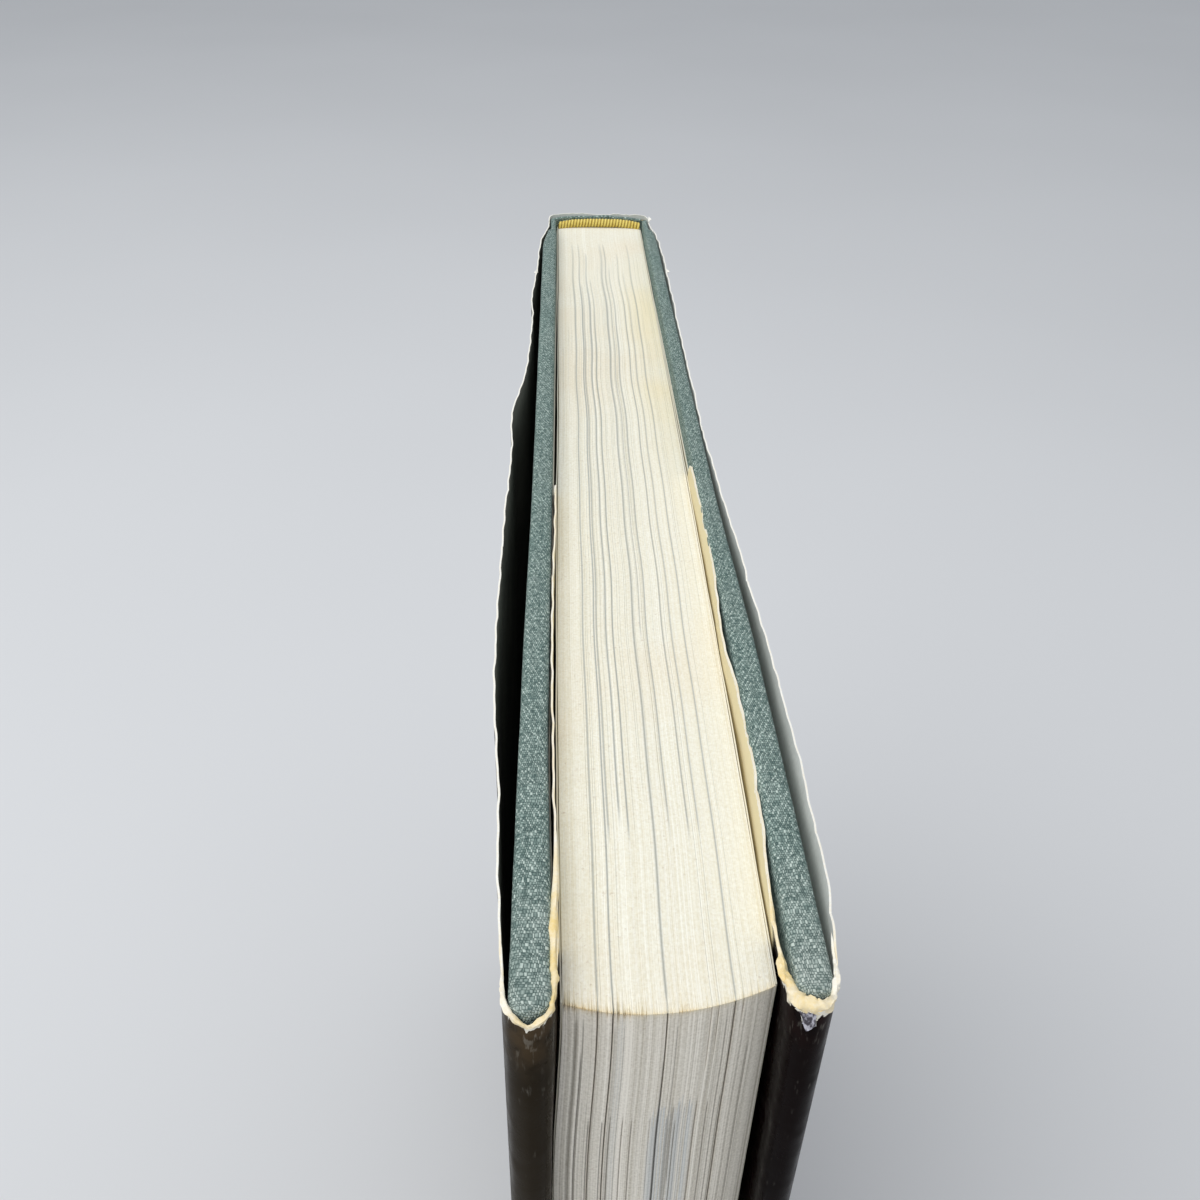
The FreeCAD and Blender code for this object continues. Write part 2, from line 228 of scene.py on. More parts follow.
@dataclass(frozen=True)
class Nicks:
    """Small tears along a paper edge."""

    seed: int
    count: int
    depth: float
    width: float
    span: float

    def at(self, place: Array) -> Array:
        """Depth of the tears at each place along the edge."""
        draw = np.random.default_rng(self.seed)
        total = np.zeros_like(place, dtype=float)
        for _ in range(self.count):
            middle = draw.uniform(0, self.span)
            depth = self.depth * draw.uniform(0.2, 1.0) ** 2
            width = self.width * draw.uniform(0.4, 1.0)
            total = np.maximum(total, depth * np.clip(1 - np.abs(place - middle) / width, 0, 1))
        return total


def curve_through(points: Knots, stations: Array) -> Array:
    """Runs a smooth line through points of a plan.

    Args:
        points: (out, along) pairs in millimetres.
        stations: Distances along the chord line, from 0 to its length, in metres.

    Returns:
        Rows of (out, along) in metres, one a station.
    """
    knots = np.array(points) * MM
    chord = run_along(knots)
    slope = np.gradient(knots, chord, axis=0)
    span = np.clip(np.searchsorted(chord, stations, side="right") - 1, 0, len(knots) - 2)
    width = (chord[span + 1] - chord[span])[:, None]
    t = ((stations - chord[span])[:, None]) / width
    return (
        (1 + 2 * t) * (1 - t) ** 2 * knots[span]
        + t * (1 - t) ** 2 * width * slope[span]
        + t**2 * (3 - 2 * t) * knots[span + 1]
        + t**2 * (t - 1) * width * slope[span + 1]
    )


def mirrored(half: Knots) -> list[tuple[float, float]]:
    """A half plan that ends in the middle plane, carried on to the other side."""
    return [*half, *((-x, y) for x, y in reversed(half[:-1]))]


def chord_length(points: Knots, last: int | None = None) -> float:
    """Length of the chords through the points, up to one of them, in metres."""
    knots = np.array(points[: None if last is None else last + 1]) * MM
    return float(np.sum(np.hypot(*np.diff(knots, axis=0).T)))


# ---------- mesh handwork


def take(piece: Piece) -> None:
    """Selects one piece alone and makes it the active one."""
    bpy.ops.object.select_all(action="DESELECT")
    bpy.context.view_layer.objects.active = piece
    piece.select_set(True)


@contextmanager
def editing(piece: Piece) -> Iterator[None]:
    """Opens a piece alone in edit mode and closes it again."""
    take(piece)
    bpy.ops.object.mode_set(mode="EDIT")
    try:
        yield
    finally:
        bpy.ops.object.mode_set(mode="OBJECT")


def pick(piece: Piece, kind: str, wanted: Callable[..., bool]) -> None:
    """Selects the edges or the faces that pass a test.

    Args:
        piece: The piece in edit mode.
        kind: EDGE or FACE.
        wanted: Takes an edge or a face and says whether it is picked.
    """
    bpy.ops.mesh.select_mode(type=kind)
    bpy.ops.mesh.select_all(action="DESELECT")
    shape = bmesh.from_edit_mesh(piece.data)
    for part in shape.edges if kind == "EDGE" else shape.faces:
        part.select_set(wanted(part))
    bmesh.update_edit_mesh(piece.data)


def named(name: str) -> Piece:
    """Names the piece that was added last, and its mesh."""
    piece = bpy.context.object
    piece.name = piece.data.name = name
    return piece


def add_block(name: str, low: Sequence[float], high: Sequence[float]) -> Piece:
    """Adds a cuboid between two corners, with its place in its mesh."""
    middle = [(a + b) / 2 for a, b in zip(low, high)]
    bpy.ops.mesh.primitive_cube_add(size=1, location=middle)
    piece = named(name)
    piece.scale = [b - a for a, b in zip(low, high)]
    settle(piece)
    return piece


def settle(piece: Piece) -> None:
    """Moves a piece's place, turn and scale into its mesh."""
    bpy.context.view_layer.update()
    piece.data.transform(piece.matrix_world)
    piece.matrix_world = Matrix.Identity(4)


def slice_across(piece: Piece, axis: int, places: Sequence[float]) -> None:
    """Cuts edge loops round a piece at places along one axis."""
    normal = [0.0, 0.0, 0.0]
    normal[axis] = 1.0
    with editing(piece):
        for place in places:
            point = [0.0, 0.0, 0.0]
            point[axis] = place
            bpy.ops.mesh.select_all(action="SELECT")
            bpy.ops.mesh.bisect(plane_co=point, plane_no=normal)


def read_points(piece: Piece) -> Array:
    """The places of a piece's vertices."""
    points = np.empty(len(piece.data.vertices) * 3)
    piece.data.vertices.foreach_get("co", points)
    return points.reshape(-1, 3)


def write_points(piece: Piece, points: Array) -> None:
    """Moves a piece's vertices."""
    piece.data.vertices.foreach_set("co", np.ascontiguousarray(points, dtype=np.float32).ravel())
    piece.data.update()


def unrolled_layer(piece: Piece) -> bpy.types.MeshUVLoopLayer:
    """The piece's own layer of places on the unrolled material."""
    layer = piece.data.uv_layers.active or piece.data.uv_layers.new()
    layer.name = UNROLLED
    return layer


def write_uv(piece: Piece, flat: Array) -> None:
    """Gives each vertex its place on the unrolled material, in metres."""
    layer = unrolled_layer(piece)
    corners = np.empty(len(piece.data.loops), dtype=np.int32)
    piece.data.loops.foreach_get("vertex_index", corners)
    layer.data.foreach_set("uv", flat[corners].astype(np.float32).ravel())


def write_marks(piece: Piece, **marks: Array) -> None:
    """Gives each vertex the numbers that the finishes read."""
    for name, values in marks.items():
        attribute = piece.data.attributes.new(name, "FLOAT", "POINT")
        attribute.data.foreach_set("value", values.astype(np.float32))


def turn_outwards(piece: Piece, gap: float = 0.0) -> None:
    """Joins vertices closer than a gap, if one is given, and turns all faces outwards."""
    with editing(piece):
        bpy.ops.mesh.select_all(action="SELECT")
        if gap:
            bpy.ops.mesh.remove_doubles(threshold=gap)
        bpy.ops.mesh.normals_make_consistent(inside=False)


def flip_faces(piece: Piece) -> None:
    """Turns every face of a piece over."""
    with editing(piece):
        bpy.ops.mesh.select_all(action="SELECT")
        bpy.ops.mesh.flip_normals()


def apply_modifier(piece: Piece, kind: str, **settings: object) -> None:
    """Adds a modifier to a piece and applies it."""
    take(piece)
    modifier = piece.modifiers.new(kind.title(), kind)
    for key, value in settings.items():
        setattr(modifier, key, value)
    bpy.ops.object.modifier_apply(modifier=modifier.name)


def thicken(piece: Piece, thickness: float, **settings: object) -> None:
    """Gives a sheet a thickness, half of it to each side."""
    apply_modifier(piece, "SOLIDIFY", thickness=thickness, offset=0.0, **settings)


def soften(piece: Piece, degrees: float = 40.0) -> None:
    """Shades a piece smooth across edges flatter than an angle."""
    take(piece)
    bpy.ops.object.shade_smooth_by_angle(angle=math.radians(degrees))


def dress(piece: Piece, material: Material) -> None:
    """Gives a piece its material."""
    piece.data.materials.clear()
    piece.data.materials.append(material)


def add_grid(name: str, columns: int, rows: int) -> tuple[Piece, Array, Array]:
    """Adds a flat grid to be shaped into a sheet.

    Args:
        name: Name of the piece.
        columns: Number of cells along the sheet.
        rows: Number of cells up the sheet.

    Returns:
        The piece, and for each vertex its column and its row.
    """
    bpy.ops.mesh.primitive_grid_add(x_subdivisions=columns, y_subdivisions=rows, size=1)
    piece = named(name)
    points = read_points(piece)
    column = np.rint((points[:, 0] + 0.5) * columns).astype(int)
    row = np.rint((points[:, 1] + 0.5) * rows).astype(int)
    return piece, column, row


@dataclass
class Sheet:
    """A sheet that stands on edge and follows a line in plan."""

    name: str
    line: Array
    low: Array | float
    high: Array | float
    thickness: float
    place: Callable[[Array, Array], Array]
    materials: Sequence[Material]
    flip: bool = False
    row_step: float = 12 * MM
    lean_depth: float = 2.2 * MM
    lean: Array | float = 0.0
    sag: Array | float = 0.0
    marks: dict[str, Array] = field(default_factory=dict)

    def heights(self) -> Array:
        """Fractions of the height at which the rows lie, close together at both edges."""
        height = float(np.max(self.high - self.low))
        edge = np.array([0, 0.25, 0.5, 0.85, 1.4, 2.4, 4.2, 7.5]) * MM / height
        count = max(2, int(height / self.row_step))
        middle = np.linspace(edge[-1], 1 - edge[-1], count)[1:-1]
        return np.concatenate((edge, middle, 1 - edge[::-1]))

    def build(self) -> Piece:
        """Makes the sheet with its wall, its unrolled coordinates and its marks.

        Returns:
            The piece, closed, with its wall's inner face on the second material slot and its
            rim on the third.
        """
        parts = self.heights()
        piece, column, row = add_grid(self.name, len(self.line) - 1, len(parts) - 1)
        level = np.zeros(len(self.line))
        low, high, lean, sag = (
            (level + value)[column] for value in (self.low, self.high, self.lean, self.sag)
        )
        up = low + (high - low) * parts[row]
        line = self.line[column]
        line[:, 0] += lean * np.exp(-(high - up) / self.lean_depth)
        line[:, 0] += sag * near_head(high - up)
        write_points(piece, self.place(line, up))
        run = run_along(self.line)
        write_uv(piece, np.column_stack((run[column], up)))
        write_marks(piece, below_edge=high - up)
        write_marks(piece, **{name: values[column] for name, values in self.marks.items()})
        if self.flip:
            flip_faces(piece)
        for material in self.materials:
            piece.data.materials.append(material)
        thicken(piece, self.thickness, use_even_offset=True, material_offset=1, material_offset_rim=2)
        soften(piece)
        return piece


# ---------- finishes


def tint(red: float, green: float, blue: float) -> Colour:
    """Turns a display colour from 0 to 255 into a linear one."""

    def linear(value: float) -> float:
        """Turns one part of a colour into its linear value."""
        part = value / 255
        return part / 12.92 if part <= 0.04045 else ((part + 0.055) / 1.055) ** 2.4

    return (linear(red), linear(green), linear(blue), 1.0)


class Recipe:
    """Node tree of one finish."""

    def __init__(self, name: str, roughness: float, specular: float) -> None:
        """Starts a finish.

        Args:
            name: Name of the material.
            roughness: Roughness of the surface.
            specular: Level of the surface's reflection.
        """
        self.material = bpy.data.materials.new(name)
        self.material.use_nodes = True
        self.tree = self.material.node_tree
        self.shader = self.tree.nodes["Principled BSDF"]
        self.shader.inputs["Roughness"].default_value = roughness
        self.shader.inputs["Specular IOR Level"].default_value = specular

    def feed(self, socket: Socket, value: object) -> None:
        """Links a socket to another, or sets it."""
        if isinstance(value, Socket):
            self.tree.links.new(value, socket)
        else:
            socket.default_value = value

    def add(self, kind: str, inputs: dict[int | str, object], **settings: object) -> bpy.types.Node:
        """Adds a node with its settings and inputs."""
        node = self.tree.nodes.new(f"ShaderNode{kind}")
        for key, value in settings.items():
            setattr(node, key, value)
        for key, value in inputs.items():
            self.feed(node.inputs[key], value)
        return node

    def flat(self) -> Socket:
        """Place on the unrolled material."""
        return self.add("UVMap", {}, uv_map=UNROLLED).outputs[0]

    def solid(self) -> Socket:
        """Place in the piece's own space."""
        return self.add("TexCoord", {}).outputs["Object"]

    def mark(self, name: str) -> Socket:
        """A number carried by the vertices."""
        return self.add("Attribute", {}, attribute_name=name).outputs["Fac"]

    def stretch(self, vector: Socket, scale: tuple[float, float, float]) -> Socket:
        """Scales a place."""
        return self.add("Mapping", {"Vector": vector, "Scale": scale}).outputs[0]

    def math(self, operation: str, *values: object) -> Socket:
        """Works out one number."""
        inputs = dict(enumerate(values))
        return self.add("Math", inputs, operation=operation).outputs[0]

    def times(self, first: object, second: object) -> Socket:
        """Multiplies two numbers."""
        return self.math("MULTIPLY", first, second)

    def plus(self, first: object, second: object) -> Socket:
        """Adds two numbers."""
        return self.math("ADD", first, second)

    def noise(self, vector: Socket, size: float, detail: float = 2.0) -> Socket:
        """Soft noise whose grains are about so many metres wide."""
        inputs = {"Vector": vector, "Scale": 1 / size, "Detail": detail}
        return self.add("TexNoise", inputs).outputs[0]

    def grain(self, size: float, detail: float = 2.0) -> Socket:
        """Soft noise in the piece's own space."""
        return self.noise(self.solid(), size, detail)

    def streaks(self, across: float, lengthwise: float, detail: float = 3.0) -> Socket:
        """Noise drawn out along the second unrolled direction."""
        drawn = self.stretch(self.flat(), (1 / across, 1 / lengthwise, 1.0))
        return self.noise(drawn, 1.0, detail)

    def ramp(self, value: Socket, low: float, high: float, floor: float = 0.0, top: float = 1.0) -> Socket:
        """Maps a number from one span to another, held at the ends."""
        inputs = {"Value": value, 1: low, 2: high, 3: floor, 4: top}
        return self.add("MapRange", inputs).outputs[0]

    def waver(self, noise: Socket, size: float) -> Socket:
        """Spreads a noise about nought, up to a size either way."""
        return self.ramp(noise, 0.3, 0.7, -size, size)

    def window(self, value: Socket, low: float, high: float, soft: float = 0.3 * MM) -> Socket:
        """1 where a number lies between two others, 0 elsewhere."""
        rise = self.ramp(value, low - soft, low + soft)
        fall = self.ramp(value, high - soft, high + soft, 1.0, 0.0)
        return self.times(rise, fall)

    def mix(self, factor: object, first: object, second: object) -> Socket:
        """Mixes two colours."""
        node = self.add("Mix", {}, data_type="RGBA")
        self.feed(node.inputs[0], factor)
        self.feed(node.inputs[6], first)
        self.feed(node.inputs[7], second)
        return node.outputs[2]

    def paint(self, colour: Socket | Colour) -> None:
        """Sets the surface's colour."""
        self.feed(self.shader.inputs["Base Color"], colour)

    def gloss(self, roughness: Socket) -> None:
        """Sets a roughness that varies over the surface."""
        self.feed(self.shader.inputs["Roughness"], roughness)

    def relief(self, *layers: tuple[Socket, float]) -> None:
        """Raises the surface by layers of (height, depth in metres)."""
        normal: Socket | None = None
        for height, depth in layers:
            inputs: dict[int | str, object] = {"Height": height, "Distance": depth}
            if normal is not None:
                inputs["Normal"] = normal
            normal = self.add("Bump", inputs).outputs[0]
        self.feed(self.shader.inputs["Normal"], normal)


@dataclass(frozen=True)
class LeafEdges:
    """Trimmed edges of old cream leaves: streaked, flecked, and tanned at the rim, with painted shade in the
    partings between leaves.
    """

    cream: Colour = tint(246, 244, 231)
    shade: Colour = tint(231, 225, 204)
    fore_light: Colour = tint(254, 248, 235)
    fore_dark: Colour = tint(200, 193, 177)
    aged: Colour = tint(240, 224, 172)
    tan: Colour = tint(224, 184, 120)
    rim: Colour = tint(228, 202, 146)
    # Painted shade in the partings between leaves: the first colour on the head, bluish-grey, and the second
    # on the fore-edge.
    gap: Colour = tint(142, 148, 146)
    fore_gap: Colour = tint(88, 82, 74)
    slate: Colour = tint(186, 198, 207)
    fleck: Colour = tint(158, 124, 82)

    def build(self) -> Material:
        """Makes the material.

        Returns:
            The material.
        """
        recipe = Recipe("leaf_edges", 0.85, specular=0.2)
        fore = recipe.mark("fore")
        streak = recipe.streaks(0.1 * MM, 60 * MM)
        broad = recipe.streaks(1.5 * MM, 120 * MM, 1.0)
        grain = recipe.grain(0.26 * MM, 3.0)
        tone = recipe.mark("tone")
        body = recipe.plus(recipe.waver(streak, 0.85), tone)
        body = recipe.plus(body, recipe.waver(broad, 0.12))
        head = recipe.plus(body, recipe.ramp(grain, 0.3, 0.7, -1.2, 1.0))
        colour = recipe.mix(recipe.ramp(head, -1.8, 1.4), self.shade, self.cream)
        leaf = recipe.plus(recipe.times(tone, 0.4), recipe.times(body, 0.6))
        leaf = recipe.plus(leaf, recipe.waver(grain, 0.4))
        edge = recipe.mix(recipe.ramp(leaf, -1.2, 0.8), self.fore_dark, self.fore_light)
        edge = recipe.mix(recipe.times(recipe.mark("grey"), 0.5), edge, self.slate)
        colour = recipe.mix(fore, colour, edge)
        fleck = recipe.grain(0.42 * MM, 3.0)
        patch = recipe.grain(14 * MM, 1.0)
        speck = recipe.times(recipe.ramp(fleck, 0.64, 0.76), recipe.ramp(patch, 0.36, 0.58))
        colour = recipe.mix(recipe.times(speck, 0.3), colour, self.fleck)
        stain = recipe.ramp(recipe.grain(22 * MM, 3.0), 0.52, 0.72, 0.0, 0.13)
        stain = recipe.times(stain, recipe.ramp(fore, 0.0, 1.0, 1.0, 0.4))
        colour = recipe.mix(stain, colour, self.tan)
        dust = recipe.grain(0.9 * MM, 3.0)
        old = recipe.times(recipe.mark("aged"), recipe.ramp(patch, 0.3, 0.6, 0.4, 1.0))
        colour = recipe.mix(old, colour, self.aged)
        rim = recipe.times(recipe.mark("rim"), recipe.ramp(dust, 0.3, 0.65, 0.35, 1.0))
        colour = recipe.mix(rim, colour, self.rim)
        # Painted shade darkens the partings between leaves, by the gap mark.
        colour = recipe.mix(recipe.mark("gap"), colour, recipe.mix(fore, self.gap, self.fore_gap))
        recipe.paint(colour)
        recipe.relief((streak, 0.03 * MM), (grain, 0.03 * MM))
        return recipe.material


@dataclass(frozen=True)
class PlainPaper:
    """Uncoated paper, softly clouded from a pale colour to a darker one."""

    name: str
    pale: Colour
    dark: Colour
    cloud: float = 12 * MM
    fibre: float = 0.4 * MM
    roughness: float = 0.75
    specular: float = 0.3

    def build(self) -> Material:
        """Makes the material."""
        recipe = Recipe(self.name, self.roughness, self.specular)
        cloud = recipe.grain(self.cloud, 4.0)
        fibre = recipe.grain(self.fibre, 3.0)
        share = recipe.plus(recipe.ramp(cloud, 0.35, 0.65), recipe.waver(fibre, 0.2))
        recipe.paint(recipe.mix(recipe.ramp(share, 0.0, 1.0), self.pale, self.dark))
        recipe.relief((fibre, 0.015 * MM))
        return recipe.material


@dataclass(frozen=True)
class BandThread:
    """Yellow cotton wound over a cord, with painted shade in the hollows between the turns."""

    bright: Colour = tint(255, 238, 136)
    dull: Colour = tint(228, 198, 92)
    hollow: Colour = tint(150, 116, 44)

    def build(self) -> Material:
        """Makes the material."""
        recipe = Recipe("band_thread", 0.7, specular=0.3)
        ply = recipe.noise(recipe.stretch(recipe.solid(), (1.0, 0.25, 0.25)), 0.12 * MM, 2.0)
        worn = recipe.grain(1.6 * MM, 2.0)
        share = recipe.plus(recipe.ramp(ply, 0.3, 0.7), recipe.waver(worn, 0.3))
        colour = recipe.mix(recipe.ramp(share, 0.0, 1.0), self.dull, self.bright)
        # Painted shade darkens the hollows between the turns.
        recipe.paint(recipe.mix(recipe.mark("hollow"), colour, self.hollow))
        recipe.relief((ply, 0.05 * MM))
        return recipe.material


@dataclass(frozen=True)
class Strawboard:
    """Grey-brown pasted board, flecked with straw."""

    base: Colour = tint(142, 130, 108)
    straw: Colour = tint(176, 160, 122)

    def build(self) -> Material:
        """Makes the material."""
        recipe = Recipe("strawboard", 0.9, specular=0.15)
        pulp = recipe.grain(1.2 * MM, 4.0)
        chaff = recipe.noise(recipe.stretch(recipe.solid(), (1.0, 1.0, 0.3)), 0.6 * MM, 2.0)
        share = recipe.times(recipe.ramp(pulp, 0.3, 0.7), recipe.ramp(chaff, 0.4, 0.65))
        recipe.paint(recipe.mix(share, self.base, self.straw))
        recipe.relief((pulp, 0.08 * MM))
        return recipe.material


@dataclass(frozen=True)
class LiningGauze:
    """Open gauze glued over the back of the leaves."""

    thread: Colour = tint(206, 198, 172)
    glue: Colour = tint(150, 128, 86)
    pitch: float = 1.1 * MM

    def build(self) -> Material:
        """Makes the material.

        Returns:
            The material.
        """
        recipe = Recipe("lining_gauze", 0.8, specular=0.3)
        split = recipe.add("SeparateXYZ", {0: recipe.solid()})
        ridge = []
        for axis in ("X", "Z"):
            turn = recipe.times(split.outputs[axis], math.pi / self.pitch)
            ridge.append(recipe.math("ABSOLUTE", recipe.math("SINE", turn)))
        net = recipe.math("MAXIMUM", *ridge)
        stain = recipe.grain(3 * MM, 3.0)
        cover = recipe.plus(recipe.ramp(net, 0.86, 0.95), recipe.waver(stain, 0.2))
        recipe.paint(recipe.mix(recipe.ramp(cover, 0.0, 1.0), self.glue, self.thread))
        recipe.relief((net, 0.12 * MM))
        return recipe.material


@dataclass(frozen=True)
class BookCloth:
    """Grey-green plain-weave cotton over the boards, paler where it is rubbed, with painted shade in the pits
    between threads and partly painted highlight on the crowns.
    """

    # The darkest colour is painted shade between the threads; the pale weft is partly painted highlight on
    # the crowns.
    pit: Colour = tint(74, 98, 94)
    warp: Colour = tint(132, 156, 148)
    weft: Colour = tint(194, 211, 202)
    rubbed: Colour = tint(208, 212, 204)
    pitch: tuple[float, float] = (0.3 * MM, 0.22 * MM)

    def build(self) -> Material:
        """Makes the material.

        Returns:
            The material.
        """
        recipe = Recipe("book_cloth", 0.85, specular=0.15)
        flat = recipe.flat()
        counted = recipe.stretch(flat, (1 / self.pitch[0], 1 / self.pitch[1], 1))
        split = recipe.add("SeparateXYZ", {0: counted})
        drawn_out = ((1, 0.3, 1), (0.3, 1, 1))
        sway = [recipe.noise(recipe.stretch(flat, scale), 0.9 * MM, 3.0) for scale in drawn_out]
        shift = [recipe.times(recipe.math("SUBTRACT", noise, 0.5), 3.0) for noise in sway]
        along = recipe.plus(split.outputs["X"], shift[0])
        stagger = recipe.times(recipe.math("FLOOR", along), 0.37)
        across = recipe.plus(recipe.plus(split.outputs["Y"], shift[1]), stagger)
        ridge = [self.thread(recipe, place) for place in (along, across)]
        cells = [recipe.math("FLOOR", place) for place in (along, across)]
        over = recipe.math("FLOORED_MODULO", recipe.plus(*cells), 2.0)
        first = recipe.times(ridge[0], recipe.math("POWER", ridge[1], 0.35))
        second = recipe.times(ridge[1], recipe.math("POWER", ridge[0], 0.15))
        height = recipe.plus(second, recipe.times(recipe.math("SUBTRACT", first, second), over))
        corner = recipe.add("CombineXYZ", {0: cells[0], 1: cells[1]}).outputs[0]
        chance = recipe.add("TexWhiteNoise", {"Vector": corner}, noise_dimensions="2D").outputs[0]
        slub = recipe.noise(flat, 0.5 * MM, 4.0)
        light = recipe.times(height, recipe.ramp(chance, 0.0, 1.0, 0.4, 1.3))
        light = recipe.plus(light, recipe.waver(slub, 0.3))
        weft_shows = recipe.ramp(over, 0.0, 1.0, 1.0, 0.15)
        pale = recipe.times(weft_shows, recipe.ramp(chance, 0.0, 1.0, 0.1, 1.0))
        crown = recipe.mix(pale, self.warp, self.weft)
        # Thread height sets the colour: painted shade in the pits, the crowns lit.
        colour = recipe.mix(recipe.ramp(light, 0.1, 0.95), self.pit, crown)
        cloud = recipe.grain(9 * MM, 3.0)
        wear = recipe.times(recipe.mark("wear"), recipe.ramp(light, 0.0, 0.9, 0.2, 1.0))
        wear = recipe.times(wear, recipe.ramp(cloud, 0.35, 0.65, 0.35, 1.0))
        recipe.paint(recipe.mix(wear, colour, self.rubbed))
        recipe.relief((height, 0.08 * MM), (slub, 0.05 * MM))
        return recipe.material

    @staticmethod
    def thread(recipe: Recipe, place: Socket) -> Socket:
        """Rounded height of the threads counted by a place."""
        wave = recipe.math("ABSOLUTE", recipe.math("SINE", recipe.times(place, math.pi)))
        return recipe.math("POWER", wave, 0.9)


@dataclass(frozen=True)
class JacketPrint:
    """Dark glossy laminate with plain fields of colour, scuffed to its white paper, with lighter streaks and
    clouds of painted sheen.
    """

    name: str
    ground: Colour
    panel: Colour
    streak: Colour
    fields: tuple[tuple[float, float, float, float], ...]
    bare: Colour = tint(246, 241, 226)
    flap: Colour = tint(237, 224, 184)
    rubbed: Colour = tint(112, 92, 68)

    def build(self) -> Material:
        """Makes the material.

        Returns:
            The material.
        """
        recipe = Recipe(self.name, 0.28, specular=0.015)
        split = recipe.add("SeparateXYZ", {0: recipe.flat()})
        run, up = split.outputs["X"], split.outputs["Y"]
        colour: Socket | Colour = self.ground
        cloud = recipe.grain(34 * MM, 2.0)
        for left, right, low, high in self.fields:
            inside = recipe.times(recipe.window(run, left, right), recipe.window(up, low, high))
            inside = recipe.times(inside, recipe.ramp(cloud, 0.35, 0.65, 0.7, 1.0))
            colour = recipe.mix(inside, colour, self.panel)
        # Long lighter streaks and clouds in the streak colour are painted sheen on the laminate.
        drawn = recipe.streaks(2.2 * MM, 90 * MM, 2.0)
        painted_sheen = recipe.ramp(drawn, 0.4, 0.75, 0.0, 0.16)
        painted_sheen = recipe.plus(painted_sheen, recipe.ramp(cloud, 0.35, 0.65, 0.0, 0.3))
        colour = recipe.mix(painted_sheen, colour, self.streak)
        below = recipe.mark("below_edge")
        smear = recipe.grain(2.4 * MM, 4.0)
        scratch = recipe.noise(recipe.stretch(recipe.solid(), (1.0, 1.0, 0.2)), 0.35 * MM, 3.0)
        scuffed = recipe.times(recipe.ramp(scratch, 0.6, 0.72), recipe.ramp(smear, 0.5, 0.66))
        scuffed = recipe.times(scuffed, recipe.ramp(below, 3 * MM, 16 * MM, 0.16, 0.04))
        worn = recipe.times(recipe.mark("crease"), recipe.ramp(below, MM, 8 * MM, 1.0, 0.0))
        worn = recipe.times(worn, recipe.ramp(smear, 0.36, 0.6))
        colour = recipe.mix(recipe.times(worn, 0.4), colour, self.rubbed)
        scratched = recipe.times(worn, recipe.ramp(scratch, 0.58, 0.68, 0.0, 0.16))
        scuffed = recipe.math("MAXIMUM", scuffed, scratched)
        colour = recipe.mix(scuffed, colour, self.bare)
        colour = recipe.mix(recipe.mark("flap"), colour, self.flap)
        gone = self.torn(recipe, below)
        recipe.paint(recipe.mix(gone, colour, self.bare))
        rough = recipe.ramp(smear, 0.3, 0.75, 0.2, 0.42)
        matt = recipe.math("MAXIMUM", gone, recipe.mark("flap"))
        recipe.gloss(recipe.math("MAXIMUM", rough, recipe.times(matt, 0.75)))
        ripple = recipe.grain(5 * MM, 2.0)
        recipe.relief((ripple, 0.12 * MM))
        return recipe.material

    @staticmethod
    def torn(recipe: Recipe, below: Socket) -> Socket:
        """Where the laminate is gone along the upper edge, wider where the paper is frayed."""
        ragged = recipe.grain(0.45 * MM, 4.0)
        depth = recipe.times(recipe.mark("fray"), recipe.ramp(ragged, 0.3, 0.7, 0.25, 1.5))
        return recipe.math("LESS_THAN", below, depth)


@dataclass(frozen=True)
class JacketCore:
    """Torn edge of the jacket's paper: white fibre, yellowed where it was handled."""

    white: Colour = tint(250, 249, 242)
    aged: Colour = tint(239, 213, 148)

    def build(self) -> Material:
        """Makes the material."""
        recipe = Recipe("jacket_core", 0.9, specular=0.1)
        fluff = recipe.grain(0.25 * MM, 4.0)
        stain = recipe.grain(2.2 * MM, 2.0)
        old = recipe.times(recipe.mark("aged"), recipe.ramp(stain, 0.3, 0.65, 0.4, 1.0))
        old = recipe.plus(old, recipe.ramp(fluff, 0.3, 0.7, -0.1, 0.15))
        recipe.paint(recipe.mix(recipe.ramp(old, 0.0, 1.0), self.white, self.aged))
        recipe.relief((fluff, 0.06 * MM))
        return recipe.material


@dataclass(frozen=True)
class Laminate:
    """Loose laminate film, greyed where it has come off its paper; its pale and dark clouds are painted
    highlight and shade on its crumples.
    """

    face: Colour = tint(196, 194, 204)
    dark: Colour = tint(62, 57, 66)

    def build(self) -> Material:
        """Makes the material."""
        recipe = Recipe("loose_laminate", 0.35, specular=0.4)
        cloud = recipe.noise(recipe.stretch(recipe.solid(), (1.0, 1.0, 0.5)), 0.3 * MM, 3.0)
        # Pale and dark clouds are painted highlight and shade on the crumpled film.
        recipe.paint(recipe.mix(recipe.ramp(cloud, 0.38, 0.56), self.face, self.dark))
        recipe.relief((cloud, 0.08 * MM))
        return recipe.material


